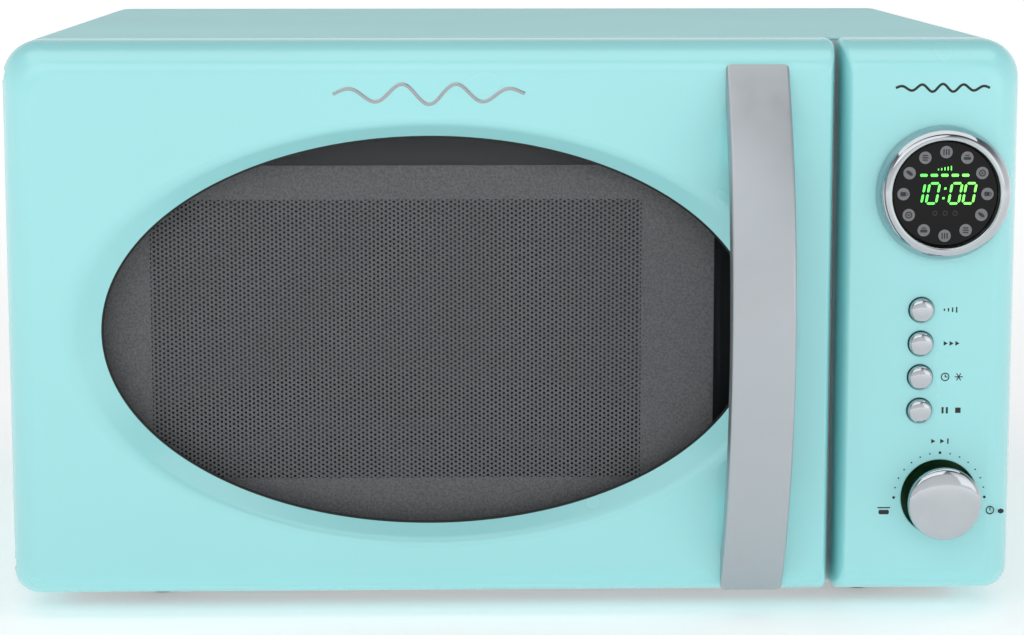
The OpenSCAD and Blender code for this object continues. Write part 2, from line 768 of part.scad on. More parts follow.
module turntable_shaft() color("#E6E6E2") {
    translate([cav_cx, cav_cy, 0]) intersection() {
        translate([0, 0, base_z1 + 3.5]) cylinder(r = shaft_r, h = shaft_top - base_z1 - 3.5);
        // A flat on the upper part of the shaft turns the coupler
        union() {
            box([-10, -10, 0], [10, 10, well_z + 1]);
            box([-10, -10, 0], [shaft_r - 1, 10, top_z]);
        }
    }
}

module turntable_coupler() color("#E6E6E2") {
    translate([cav_cx, cav_cy, 0]) difference() {
        union() {
            translate([0, 0, well_z + 1.5]) cylinder(r = 8, h = tray_z - well_z - 3);
            for (i = [0:2]) rotate([0, 0, i * 120])
                translate([0, -3.5, tray_z - 1.5 - lobe_h]) cube([coupler_r, 7, lobe_h]);
        }
        intersection() {
            translate([0, 0, well_z]) cylinder(r = shaft_r, h = shaft_top - well_z);
            box([-10, -10, 0], [shaft_r - 1, 10, top_z]);
        }
    }
}

module roller_ring() color("#E6E6E2") {
    translate([cav_cx, cav_cy, wheel_z]) {
        translate([0, 0, -ring_h / 2]) difference() {
            cylinder(r = ring_r1, h = ring_h);
            translate([0, 0, -1]) cylinder(r = ring_r1 - ring_w, h = ring_h + 2);
        }
        for (i = [0:WHEELS - 1]) rotate([0, 90, i * 360 / WHEELS]) {
            translate([0, 0, ring_r1 - 2]) cylinder(r = axle_r, h = axle_end - ring_r1 + 4);
            translate([0, 0, axle_end]) cylinder(r = axle_r + 1.2, h = 2);
        }
    }
}

module wheel(i) color("#E6E6E2") {
    translate([cav_cx, cav_cy, wheel_z]) rotate([0, 90, i * 360 / WHEELS])
        translate([0, 0, track_r]) difference() {
            union() {
                cylinder(r = wheel_r, h = 2, center = true);
                cylinder(r = wheel_r - 0.4, h = wheel_w, center = true);
            }
            cylinder(r = axle_r + run_fit, h = wheel_w + 2, center = true);
        }
}

module wheel_1() wheel(0);
module wheel_2() wheel(1);
module wheel_3() wheel(2);

flat_r = tray_r - 17;

module glass_tray() color("#CFE3E2", 0.6) {
    translate([cav_cx, cav_cy, tray_z]) {
        rotate_extrude() polygon([[0, 0], [flat_r, 0], [tray_r - 6, 2.5], [tray_r, tray_rim + tray_t - 1.5],
            [tray_r, tray_rim + tray_t], [tray_r - 2, tray_rim + tray_t], [tray_r - 7.5, 6],
            [flat_r - 1, tray_t], [0, tray_t]]);
        // Three pairs of drive lugs under the centre, one pair round each arm of the coupler
        for (i = [0:2], side = [-1, 1]) rotate([0, 0, i * 120])
            translate([11, side * 6.5 - 1.5, -4]) cube([8, 3, 4.5]);
    }
}

// ---- Control panel ----

module control_panel() color(aqua) {
    difference() {
        union() {
            difference() {
                pillow(panel_x0, right_x, [gap_r, top_r, bottom_r, gap_r], gap_roll, 1, 0, seam_y);
                pillow(panel_x0, right_x, [gap_r, top_r - wall, bottom_r - wall, gap_r], gap_roll, 1, wall, seam_y + 1);
            }
            for (p = board_screw_places) rod_y(p[0], p[1], 3, panel_back_y - 0.5, board_y0);
        }
        rod_y(display_x, display_z, lens_r + 1.5, face_y - 1, panel_back_y + 1);
        for (i = [0:BUTTONS - 1])
            rod_y(button_x, button_z - i * button_pitch, button_r + button_clear, face_y - 1, panel_back_y + 1);
        rod_y(knob_x, knob_z, knob_hole_r, face_y - 1, panel_back_y + 1);
        for (p = board_screw_places) rod_y(p[0], p[1], 1.2, panel_back_y + 2, board_y0 + 1);
    }
}

bezel_w = bezel_r - lens_r - 0.1;

module display_bezel() color(chrome) {
    translate([display_x, face_y, display_z]) rotate([90, 0, 0]) rotate_extrude() {
        translate([lens_r + 0.1 + bezel_w / 2, bezel_proud - bezel_w / 2]) circle(bezel_w / 2, $fn = 48);
        translate([lens_r + 0.1, 0]) square([bezel_w, bezel_proud - bezel_w / 2]);
        translate([lens_r + 0.1, -wall - 1]) square([1.2, wall + 2]);
    }
}

module display_lens() color(black) {
    rod_y(display_x, display_z, lens_r, face_y - lens_proud, face_y - lens_proud + 3);
}

module display_module() color("#2A3A34") {
    box([display_x - 17, face_y - lens_proud + 3.4, display_z - 12], [display_x + 17, face_y + 6, display_z + 12]);
    for (x = [-14, 13]) translate([display_x + x, face_y + 6, display_z - 6]) cube([1, board_y0 - face_y - 6, 12]);
}

module control_board() color("#3C6B45") {
    difference() {
        box([board_x0, board_y0, board_z0], [board_x1, board_y0 + board_t, board_z1]);
        for (p = board_screw_places) rod_y(p[0], p[1], 1.2, board_y0 - 1, board_y0 + 3);
    }
    // Relays and the small transformer on the back
    box([board_x0 + 14, board_y0 + board_t, button_z - 12], [board_x0 + 30, board_y0 + board_t + 3.6, button_z + 4]);
    box([board_x0 + 34, board_y0 + board_t, button_z - 40], [board_x0 + 54, board_y0 + board_t + 3.6, button_z - 22]);
}

module board_screws() color(steel) {
    for (p = board_screw_places) {
        rod_y(p[0], p[1], 1.2, board_y0 - 7, board_y0 + board_t);
        rod_y(p[0], p[1], 2.6, board_y0 + board_t, board_y0 + board_t + 1.6);
    }
}

tact_y0 = board_y0 - tact_h;

module tact_switches() color(black) {
    for (i = [0:BUTTONS - 1]) {
        z = button_z - i * button_pitch;
        box([button_x - 3, board_y0 - 3.6, z - 3], [button_x + 3, board_y0, z + 3]);
        rod_y(button_x, z, 1.75, tact_y0, board_y0 - 3);
    }
}

// Domed cap, a wider collar behind the panel, and a stem
module button(i) color(chrome) {
    dome = 2.6;
    collar = -wall - 0.4;
    tip = face_y - tact_y0 + button_travel + 0.3;
    translate([button_x, face_y, button_z - i * button_pitch]) rotate([90, 0, 0]) rotate_extrude()
        polygon(concat(
            [[0, tip], [2, tip], [2, collar - 1], [button_r + 1.3, collar - 1], [button_r + 1.3, collar],
                [button_r, collar]],
            [for (k = [0:7]) [button_r * cos(90 * k / 8), button_proud - dome + dome * sin(90 * k / 8)]],
            [[0, button_proud]]));
}

module button_1() button(0);
module button_2() button(1);
module button_3() button(2);
module button_4() button(3);

encoder_r = 3;

module encoder() color("#2C2C30") {
    difference() {
        union() {
            box([knob_x - 7, board_y0 - 7, knob_z - 7], [knob_x + 7, board_y0, knob_z + 7]);
            rod_y(knob_x, knob_z, 4.5, board_y0 - 12, board_y0 - 6);
        }
        rod_y(knob_x, knob_z, encoder_r + run_fit, board_y0 - 13, board_y0 - 3);
    }
}

module encoder_shaft() color(steel) {
    intersection() {
        rod_y(knob_x, knob_z, encoder_r, face_y - knob_proud + 6, board_y0 - 3.4);
        // A flat on the front of the shaft turns the dial
        union() {
            box([left_x, board_y0 - 16, under_z], [right_x, board_y0, top_z]);
            box([left_x, face_y - knob_proud, under_z], [knob_x + encoder_r - 1, board_y0, top_z]);
        }
    }
}

module knob() color(chrome) {
    deep = knob_proud + 1.5;
    top_r1 = knob_r - 1.2;
    translate([knob_x, face_y + 1.5, knob_z]) difference() {
        rotate([90, 0, 0]) rotate_extrude() polygon(concat(
            [[0, 0], [knob_r, 0], [knob_r, 1.2], [top_r1 + 0.1, deep - 3.4]],
            [for (i = [0:6]) [top_r1 - 1.6 * (1 - cos(15 * i)), deep - 3.2 + 1.6 * sin(15 * i)]],
            [for (i = [1:6]) [(top_r1 - 1.6) * (1 - i / 6), deep - 1.6 + 1.6 * (1 - pow(1 - i / 6, 2))]]));
        // Hollow back round a hub
        rotate([90, 0, 0]) difference() {
            translate([0, 0, -1]) cylinder(r = knob_r - 2.6, h = deep - 4);
            translate([0, 0, -2]) cylinder(r = 6, h = deep);
        }
        intersection() {
            rotate([90, 0, 0]) translate([0, 0, -1]) cylinder(r = encoder_r + run_fit, h = deep - 3);
            box([-10, -deep - 5, -10], [encoder_r - 1 + run_fit, 10, 10]);
        }
    }
}

module cord_gland() color(black) {
    difference() {
        union() {
            rod_y(comp_cx, gland_z, gland_r, rear_y0 - 3, lip_y1 + 1.5);
            rod_y(comp_cx, gland_z, gland_r + 2.5, lip_y0, lip_y1 + 1.5);
            rod_y(comp_cx, gland_z, gland_r + 1.5, rear_y0 - 3, rear_y0);
        }
        rod_y(comp_cx, gland_z, 3.6, rear_y0 - 4, lip_y1 + 3);
    }
}

// ---- Door ----

module hinge_brackets() color(steel) {
    for (z = [arm_top_z, arm_low_z]) {
        difference() {
            union() {
                box([hinge_x - arm_half, hinge_y, z - arm_t / 2], [hinge_x + arm_half, cav_y0 + 3, z + arm_t / 2]);
                translate([hinge_x, hinge_y, z - arm_t / 2]) cylinder(r = arm_half, h = arm_t);
            }
            translate([hinge_x, hinge_y, z - arm_t]) cylinder(r = hinge_pin_r, h = 2 * arm_t);
        }
        // Foot behind the front frame
        turn = z > mid_z ? -1 : 1;
        box([hinge_x - arm_half, cav_y0, min(z, z + turn * 20)], [hinge_x + arm_half, cav_y0 + 3, max(z, z + turn * 20)]);
    }
}

module hinge_pins() color(steel) {
    translate([hinge_x, hinge_y, arm_top_z]) {
        translate([0, 0, -arm_t / 2 - pin_len]) cylinder(r = hinge_pin_r, h = arm_t + pin_len);
        translate([0, 0, arm_t / 2]) cylinder(r = hinge_pin_r + 1, h = 1);
    }
    translate([hinge_x, hinge_y, arm_low_z]) {
        translate([0, 0, -arm_t / 2]) cylinder(r = hinge_pin_r, h = arm_t + pin_len);
        translate([0, 0, -arm_t / 2 - 1]) cylinder(r = hinge_pin_r + 1, h = 1);
    }
}

// Space that the hinge arm sweeps through the door's corner
module arm_pocket(z) {
    low = z - arm_t / 2 - arm_clear - (z < mid_z ? 1.2 : 0);
    high = z + arm_t / 2 + arm_clear + (z > mid_z ? 1.2 : 0);
    box([left_x - 1, hinge_y - arm_half - 1.9, low], [hinge_x + arm_half + 0.6, seam_y, high]);
}

latch_guides = [latch_z0 + 24, latch_z1 - 32];
screw_pad_r = 6;
handle_screw_zs = [handle_z0 + block_h / 2 + 4, handle_z1 - block_h / 2];
spring_len = 22;
seat_z = latch_z1 + latch_travel + spring_len;

module door_frame() color(aqua) {
    ratio_a = (win_a) / (win_a + rim_x);
    ratio_b = (win_b) / (win_b + rim_z);
    difference() {
        union() {
            difference() {
                pillow(left_x, door_x1, [top_r, gap_r, gap_r, bottom_r], 1, gap_roll, 0, door_back_y);
                pillow(left_x, door_x1, [top_r - wall, gap_r, gap_r, bottom_r - wall], 1, gap_roll, wall, door_back_y + 1);
            }
            // Wall of the sloping rim
            translate([win_cx, face_y + rim_depth, win_cz]) rotate([90, 0, 0]) linear_extrude(rim_depth - 0.5)
                polygon(ellipse_points(win_a + rim_x + wall, win_b + rim_z + wall));
            // Hinge bosses
            intersection() {
                slab_y(face_y + 1.5, hinge_y + boss_r)
                    plate_outline(left_x + 1, hinge_x + boss_r, under_z + 1, top_z - 1, [8, 1, 1, 8]);
                union() for (z = [arm_top_z - arm_t / 2 - arm_clear - boss_h, arm_low_z + arm_t / 2 + arm_clear]) {
                    translate([hinge_x, hinge_y, z]) cylinder(r = boss_r, h = boss_h);
                    box([left_x + 1.5, face_y + 2, z], [hinge_x + boss_r, hinge_y, z + boss_h]);
                    box([left_x + 1, hinge_y - boss_r, z], [hinge_x, hinge_y + boss_r - 1, z + boss_h]);
                }
            }
            // Latch guides and the latch spring's seat
            for (z = latch_guides) box([latch_x - 4.5, face_y + 1, z], [latch_x + 4.5, latch_y1 - 2, z + 8]);
            box([latch_x - 4.5, face_y + 1, seat_z], [latch_x + 4.5, latch_y1 - 2, seat_z + 3]);
            for (z = handle_screw_zs) rod_y(handle_cx, z, screw_pad_r, face_y + 1, face_y + wall + 1);
        }
        // The sloping rim itself
        translate([win_cx, face_y - 0.01, win_cz]) rotate([-90, 0, 0])
            linear_extrude(rim_depth + 0.02, scale = [ratio_a, ratio_b], slices = 1)
            polygon(ellipse_points(win_a + rim_x, win_b + rim_z));
        // Rounded rear edge on the hinge side
        difference() {
            box([left_x - 1, door_back_y - hinge_edge_r, 0], [left_x + hinge_edge_r, seam_y + 1, top_z + 1]);
            translate([left_x + hinge_edge_r, door_back_y - hinge_edge_r, -1])
                cylinder(r = hinge_edge_r, h = top_z + 3);
        }
        for (z = [arm_top_z, arm_low_z]) {
            arm_pocket(z);
            translate([hinge_x, hinge_y, z - 13]) cylinder(r = hinge_pin_r + run_fit, h = 26);
        }
        for (z = latch_guides)
            box([latch_x - latch_t / 2 - guide_clear, latch_y0 - guide_clear, z - 1],
                [latch_x + latch_t / 2 + guide_clear, seam_y, z + 9]);
        for (z = handle_screw_zs) rod_y(handle_cx, z, screw_r, face_y - 1, face_y + wall + 2);
    }
}

module door_window() color("#20282A", 0.7) {
    translate([win_cx, 0, win_cz]) slab_y(glass_y0, glass_y1)
        polygon(ellipse_points(win_a + glass_lap, win_b + glass_lap));
}

screen_x0 = cav_x0 - screen_lap;
screen_x1 = cav_x1 + screen_lap;
screen_z0 = cav_z0 - screen_lap;
screen_z1 = cav_z1 + screen_lap;
finger_pitch = 14;
finger_w = 3;

module door_screen() color("#5A5B5D") {
    difference() {
        box([screen_x0, screen_y0, screen_z0], [screen_x1, cover_y0, screen_z1]);
        box([screen_x0 + screen_t, screen_y1, screen_z0 + screen_t], [screen_x1 - screen_t, seam_y, screen_z1 - screen_t]);
        // Slots that divide the folded rim into fingers
        for (z = [screen_z0 + finger_pitch:finger_pitch:screen_z1 - finger_pitch])
            box([screen_x0 - 1, screen_y1 + 1, z], [screen_x1 + 1, seam_y, z + finger_w]);
        for (x = [screen_x0 + finger_pitch:finger_pitch:screen_x1 - finger_pitch])
            box([x, screen_y1 + 1, screen_z0 - 1], [x + finger_w, seam_y, screen_z1 + 1]);
    }
}

module door_film() color("#DDE3E3", 0.5) {
    box([cav_x0 + 2, screen_y1, cav_z0 + 2], [cav_x1 - 2, screen_y1 + 0.3, cav_z1 - 2]);
}

module choke_cover() color("#3A3B3E") {
    difference() {
        slab_y(cover_y0, door_back_y) plate_outline(left_x + wall + 0.3, door_x1 - wall - 0.3,
            under_z + wall + 0.3, top_z - wall - 0.3,
            [top_r - wall, gap_r, gap_r, bottom_r - wall]);
        box([cav_x0 + cover_lap, cover_y0 - 1, cav_z0 + cover_lap], [cav_x1 - cover_lap, seam_y, cav_z1 - cover_lap]);
        for (z = hook_zs)
            box([latch_x - hook_slot_w / 2, cover_y0 - 1, z - slot_clear],
                [latch_x + hook_slot_w / 2, seam_y, z + hook_h + latch_travel + slot_clear]);
        difference() {
            box([left_x - 1, cover_y0 - 1, 0], [left_x + hinge_edge_r, seam_y + 1, top_z + 1]);
            translate([left_x + hinge_edge_r, door_back_y - hinge_edge_r, -1])
                cylinder(r = hinge_edge_r, h = top_z + 3);
        }
        // Corners left open for the hinge arms
        for (z = [[arm_top_z - arm_t, top_z], [under_z, arm_low_z + arm_t]])
            box([left_x - 1, cover_y0 - 1, z[0]], [hinge_x + arm_half + 0.6, seam_y, z[1]]);
    }
}

// ---- Handle ----

module handle_arc(r0, r1, x0, x1, angle) {
    translate([x0, handle_cy, handle_mid_z]) rotate([0, 90, 0]) rotate([0, 0, -90])
        rotate([0, 0, -angle]) rotate_extrude(angle = 2 * angle, $fn = 128)
        translate([r0, 0]) square([r1 - r0, x1 - x0]);
}

module handle() color(chrome) {
    x0 = handle_cx - handle_w / 2;
    x1 = handle_cx + handle_w / 2;
    intersection() {
        difference() {
            handle_arc(handle_r - handle_side, handle_r, x0, x1, handle_angle + 4);
            handle_arc(handle_r - handle_side - 1, handle_r - handle_t, x0 + handle_t, x1 - handle_t, handle_angle + 6);
        }
        box([x0 - 1, face_y - handle_proud - 1, handle_z0], [x1 + 1, face_y, handle_z1]);
    }
}

module handle_blocks() color(aqua) {
    x0 = handle_cx - handle_w / 2 + handle_t + block_fit;
    x1 = handle_cx + handle_w / 2 - handle_t - block_fit;
    difference() {
        intersection() {
            translate([x0, handle_cy, handle_mid_z]) rotate([0, 90, 0])
                cylinder(r = handle_r - handle_t, h = x1 - x0, $fn = 128);
            union() {
                box([x0, face_y - handle_proud, handle_z0 + 2], [x1, face_y, handle_z0 + block_h]);
                box([x0, face_y - handle_proud, handle_z1 - block_h], [x1, face_y, handle_z1 - 2]);
            }
        }
        for (z = handle_screw_zs) rod_y(handle_cx, z, screw_r, face_y - 9, face_y + 1);
    }
}

module handle_screws() color(steel) {
    for (z = handle_screw_zs)
        translate([handle_cx, face_y + wall + 1, z]) rotate([-90, 0, 0]) pan_screw(wall + 9);
}

// ---- Latch ----

// The latch is drawn raised, with its hooks free
module door_latch() color("#E6E6E2") translate([0, 0, latch_travel]) {
    x0 = latch_x - latch_t / 2;
    x1 = latch_x + latch_t / 2;
    box([x0, latch_y0, latch_z0], [x1, latch_y1 - 3, latch_z1]);
    for (z = hook_zs) {
        box([x0, latch_y0, z], [x1, hook_y1, z + hook_h]);
        box([x0, hook_y1 - tooth_len, z - tooth_deep], [x1, hook_y1, z + 1]);
    }
}

// Round wire swept along a list of points
function unit(v) = v / norm(v);

module wire(path, r, sides = 8) {
    last = len(path) - 1;
    through_rings([for (i = [0:last])
        let (
            ahead = unit(path[min(i + 1, last)] - path[max(i - 1, 0)]),
            side = unit(cross(ahead, [0, 0, 1])),
            up = cross(side, ahead))
        [for (k = [0:sides - 1]) path[i] + r * cos(360 * k / sides) * side + r * sin(360 * k / sides) * up]]);
}

spring_turns = 6;
spring_steps = 12;
spring_coil_r = 2.6;
spring_wire_r = 0.35;

module latch_spring() color(steel) {
    spring_h = spring_len - 2 * spring_wire_r;
    path = [for (i = [0:spring_turns * spring_steps])
        [spring_coil_r * cos(360 * i / spring_steps), spring_coil_r * sin(360 * i / spring_steps),
            spring_wire_r + spring_h * i / (spring_turns * spring_steps)]];
    translate([latch_x, (latch_y0 + latch_y1 - 3) / 2, seat_z - spring_len]) wire(path, spring_wire_r);
}

// ---- Assembly ----

outer_case();
base_plate();
rear_panel();
front_frame();
feet();
case_screws();
oven_cavity();
waveguide_cover();
waveguide();
magnetron();
magnetron_fins();
transformer_core();
transformer_windings();
capacitor();
capacitor_clamp();
hv_diode();
fan_shroud();
fan_motor();
fan_rotor();
cavity_lamp();
lamp_holder();
thermal_cutout();
filter_board();
latch_board();
door_switches();
turntable_motor();
turntable_shaft();
turntable_coupler();
roller_ring();
wheel_1();
wheel_2();
wheel_3();
glass_tray();
control_panel();
display_bezel();
display_lens();
display_module();
control_board();
board_screws();
tact_switches();
button_1();
button_2();
button_3();
button_4();
encoder();
encoder_shaft();
knob();
cord_gland();
hinge_brackets();
hinge_pins();
door_frame();
door_window();
door_screen();
door_film();
choke_cover();
handle();
handle_blocks();
handle_screws();
door_latch();
latch_spring();
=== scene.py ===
"""Looks of a retro countertop microwave oven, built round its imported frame."""

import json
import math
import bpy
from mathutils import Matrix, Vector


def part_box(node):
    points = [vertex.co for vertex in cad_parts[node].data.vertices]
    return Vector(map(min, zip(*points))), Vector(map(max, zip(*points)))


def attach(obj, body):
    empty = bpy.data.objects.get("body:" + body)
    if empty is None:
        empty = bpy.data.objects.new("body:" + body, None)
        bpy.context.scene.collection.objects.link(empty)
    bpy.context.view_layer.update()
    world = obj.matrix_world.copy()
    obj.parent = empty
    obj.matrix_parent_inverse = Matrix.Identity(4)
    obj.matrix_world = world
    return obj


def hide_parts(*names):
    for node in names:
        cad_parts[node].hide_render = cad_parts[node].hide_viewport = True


bl_info = {
    "name": "Retro Microwave Oven",
    "version": (1, 0, 0),
    "blender": (4, 5, 0),
    "location": "View3D > Sidebar > Oven",
    "description": "Models the outer mouldings, metalwork and finishes of a countertop microwave oven",
    "category": "Object",
}

import bmesh
import bpy
from mathutils import Vector

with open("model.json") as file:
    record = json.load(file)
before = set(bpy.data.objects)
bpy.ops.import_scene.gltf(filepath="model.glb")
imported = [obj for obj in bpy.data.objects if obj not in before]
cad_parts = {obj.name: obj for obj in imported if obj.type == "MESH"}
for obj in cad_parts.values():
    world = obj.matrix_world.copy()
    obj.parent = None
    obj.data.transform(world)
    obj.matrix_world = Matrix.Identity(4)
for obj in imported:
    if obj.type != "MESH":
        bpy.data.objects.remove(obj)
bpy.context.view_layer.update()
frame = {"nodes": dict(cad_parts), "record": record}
MM = 0.001


# ---- Places taken from the frame ----

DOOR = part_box("door_frame")
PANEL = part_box("control_panel")
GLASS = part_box("door_window")
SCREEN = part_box("door_screen")
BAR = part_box("handle")
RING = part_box("display_bezel")
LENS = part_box("display_lens")
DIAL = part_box("knob")
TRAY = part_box("glass_tray")
BUTTONS = ["button_1", "button_2", "button_3", "button_4"]
FACE_Y = DOOR[0].y
WINDOW = (GLASS[0] + GLASS[1]) / 2


def middle(box):
    """Centre of a node's box."""
    return (box[0] + box[1]) / 2


# ---- Settings that a user would change ----

def length(name, description, size):
    """A length setting, its default given in mm."""
    return bpy.props.FloatProperty(name=name, description=description, default=size * MM, unit="LENGTH")


def hex_colour(name, description, code):
    """A colour setting, as an sRGB hex value."""
    return bpy.props.StringProperty(name=name, description=description, default=code)


class FinishSettings(bpy.types.PropertyGroup):
    """Colours of the oven's finishes, as sRGB hex values."""

    aqua: hex_colour("Aqua", "Colour of the case and mouldings", "#A2E4E6")
    top: hex_colour("Case", "Colour of the painted case", "#9FDDDF")
    chrome: hex_colour("Chrome", "Colour of the bright plating", "#BFC4C8")
    cavity: hex_colour("Cavity", "Colour of the cavity paint", "#6A6B6E")
    digits: hex_colour("Digits", "Colour of the lit digits", "#7CF05A")


class MouldingSettings(bpy.types.PropertyGroup):
    """Sizes of the rolled mouldings and the window rim."""

    roll_in: length("Roll in", "How far the roll reaches in from the edge", 14)
    roll_deep: length("Roll depth", "How far the roll reaches back", 22)
    gap_roll: bpy.props.FloatProperty(
        name="Gap roll", description="Share of the roll next to the gap", default=0.3, subtype="FACTOR")
    top_radius: length("Top radius", "Radius of the upper corners", 17)
    bottom_radius: length("Bottom radius", "Radius of the lower corners", 10.5)
    gap_radius: length("Gap radius", "Corner radius next to the gap", 3)
    rim_width: length("Rim width", "Width of the window's sloping rim at the sides", 15.9)
    rim_height: length("Rim height", "Width of the window's sloping rim at the top", 6.5)
    glass_lap: length("Glass lap", "How far the pane reaches behind the rim", 4)
    dial_hole: length("Dial hole", "Radius of the dial's hole", 17)
    button_hole: length("Button hole", "Radius of each button's hole", 5.6)
    wall: length("Wall", "Thickness of the moulded walls", 2.5)


class ScreenSettings(bpy.types.PropertyGroup):
    """The perforated screen behind the window."""

    pitch: length("Hole pitch", "Distance between neighbouring holes", 2.08)
    hole: length("Hole radius", "Radius of a hole", 0.55)
    left: length("Left", "Left edge of the holes from the glass centre", -124)
    down: length("Drop", "How far the field's middle stands from the glass centre", -5.6)
    sheet: length("Sheet", "Thickness of the screen's sheet steel", 0.8)
    plate_right: length("Plate right", "Right edge of the plate from the glass centre", 126.5)
    plate_top: length("Plate top", "Top of the raised plate from the glass centre", 72.5)
    plate_step: length("Plate step", "Width of the step round the raised plate", 5)
    columns: bpy.props.IntProperty(name="Columns", description="Pairs of hole columns", default=61)
    rows: bpy.props.IntProperty(name="Rows", description="Holes in a column", default=61)


class HandleSettings(bpy.types.PropertyGroup):
    """The bowed bar handle."""

    radius: length("Radius", "Radius of the bow", 199.12)
    side: length("Side", "Depth of the turned-back sides", 9)
    metal: length("Metal", "Thickness of the plated metal", 1.4)
    edge: length("Edge", "Radius of the long edges", 1.6)
    end_radius: length("End radius", "Corner radius of the ends", 4)


class ControlSettings(bpy.types.PropertyGroup):
    """Buttons, display figures and tray."""

    button_radius: length("Button radius", "Radius of the push buttons", 5.3)
    tray_tall: length("Tray height", "Height of the glass dish", 13)
    lean: bpy.props.FloatProperty(
        name="Lean", description="Slant of the display figures", default=math.radians(10), subtype="ANGLE")


SETTINGS = {"oven_finish": FinishSettings, "oven_moulding": MouldingSettings, "oven_screen": ScreenSettings,
            "oven_handle": HandleSettings, "oven_controls": ControlSettings}


# ---- Colours and materials ----

def linear(code):
    """Linear RGBA of an sRGB hex colour."""
    channels = [int(code[i:i + 2], 16) / 255 for i in (1, 3, 5)]
    return tuple(c / 12.92 if c <= 0.04045 else ((c + 0.055) / 1.055) ** 2.4 for c in channels) + (1.0,)


NOISE, RAMP, RANGE, BUMP = "ShaderNodeTexNoise", "ShaderNodeValToRGB", "ShaderNodeMapRange", "ShaderNodeBump"


def add(tree, kind, links=None, to=None, stops=(), **settings):
    """Adds a node.

    Settings name its properties or sockets. Links name sockets and the socket, or the node by its first output,
    that feeds each. Its own first output feeds to. Stops are (position, hex) pairs for a node that takes them."""
    made = tree.nodes.new(kind)
    for key, value in settings.items():
        if hasattr(made, key):
            setattr(made, key, value)
        else:
            made.inputs[key.replace("_", " ")].default_value = value
    for k, (position, code) in enumerate(stops):
        elements = made.color_ramp.elements
        element = elements[k] if k < len(elements) else elements.new(position)
        element.position = position
        element.color = linear(code)
    for key, source in (links or {}).items():
        tree.links.new(source.outputs[0] if hasattr(source, "outputs") else source, made.inputs[key])
    if to:
        tree.links.new(made.outputs[0], to)
    return made


def new_material(name, **fixed):
    """A material with a Principled shader, whose own sockets take the fixed values.

    Returns the material, its tree, the shader's sockets and the place on the piece."""
    material = bpy.data.materials.new(name)
    material.use_nodes = True
    tree = material.node_tree
    sockets = tree.nodes["Principled BSDF"].inputs
    for key, value in fixed.items():
        sockets[key.replace("_", " ")].default_value = value
    return material, tree, sockets, add(tree, "ShaderNodeTexCoord").outputs["Object"]


def shade(code, factor):
    """A hex colour made lighter or darker."""
    channels = [min(255, round(int(code[i:i + 2], 16) * factor)) for i in (1, 3, 5)]
    return "#%02X%02X%02X" % tuple(channels)


def gloss_paint(name, code):
    """Baked powder paint on sheet steel: an even gloss with a faint orange-peel ripple 2 mm across."""
    paint, tree, look, place = new_material(
        name, IOR=1.5, Specular_IOR_Level=0.35, Coat_Weight=0.06, Coat_Roughness=0.2)
    drift = add(tree, NOISE, {"Vector": place}, Scale=1000 / 90, Detail=0.0)
    add(tree, RAMP, {"Fac": drift}, look["Base Color"], ((0.0, shade(code, 0.98)), (1.0, shade(code, 1.02))))
    cloud = add(tree, NOISE, {"Vector": place}, Scale=1000 / 14, Detail=0.0)
    add(tree, RANGE, {"Value": cloud}, look["Roughness"], To_Min=0.38, To_Max=0.44)
    peel = add(tree, NOISE, {"Vector": place}, Scale=1000 / 2.2, Detail=1.0)
    add(tree, BUMP, {"Height": peel}, look["Normal"], Strength=0.08, Distance=0.02 * MM)
    return paint


def gloss_abs(name, code):
    """Moulded ABS with a painted gloss face: smooth, soft reflections with hardly any texture."""
    plastic, tree, look, place = new_material(name, IOR=1.54, Coat_Weight=0.3, Coat_Roughness=0.1)
    drift = add(tree, NOISE, {"Vector": place}, Scale=1000 / 120, Detail=0.0)
    add(tree, RAMP, {"Fac": drift}, look["Base Color"], ((0.0, shade(code, 0.985)), (1.0, shade(code, 1.015))))
    cloud = add(tree, NOISE, {"Vector": place}, Scale=1000 / 25, Detail=0.0)
    add(tree, RANGE, {"Value": cloud}, look["Roughness"], To_Min=0.24, To_Max=0.28)
    flow = add(tree, NOISE, {"Vector": place}, Scale=1000 / 3.5, Detail=1.0)
    add(tree, BUMP, {"Height": flow}, look["Normal"], Strength=0.04, Distance=0.01 * MM)
    return plastic


def bright_chrome(name, code, rough=0.07):
    """Chrome plate: mirror-like, with a slight haze that varies where it has been wiped."""
    chrome, tree, look, place = new_material(name, Metallic=1.0)
    haze = add(tree, NOISE, {"Vector": place}, Scale=1000 / 11, Detail=3.0)
    add(tree, RANGE, {"Value": haze}, look["Roughness"], To_Min=rough * 0.8, To_Max=rough * 1.5)
    add(tree, RAMP, {"Fac": haze}, look["Base Color"], ((0.2, shade(code, 0.97)), (0.8, code)))
    return chrome


def zinc_sheet(name, code):
    """Zinc-plated sheet steel: a dull metal with the faint spangle of the zinc crystals."""
    zinc, tree, look, place = new_material(name, Metallic=1.0)
    spangle = add(tree, "ShaderNodeTexVoronoi", {"Vector": place}, Scale=1000 / 3.5).outputs["Color"]
    value = add(tree, "ShaderNodeRGBToBW", {"Color": spangle})
    add(tree, RAMP, {"Fac": value}, look["Base Color"], ((0.2, shade(code, 0.975)), (0.8, shade(code, 1.015))))
    add(tree, RANGE, {"Value": value}, look["Roughness"], To_Min=0.36, To_Max=0.4)
    return zinc


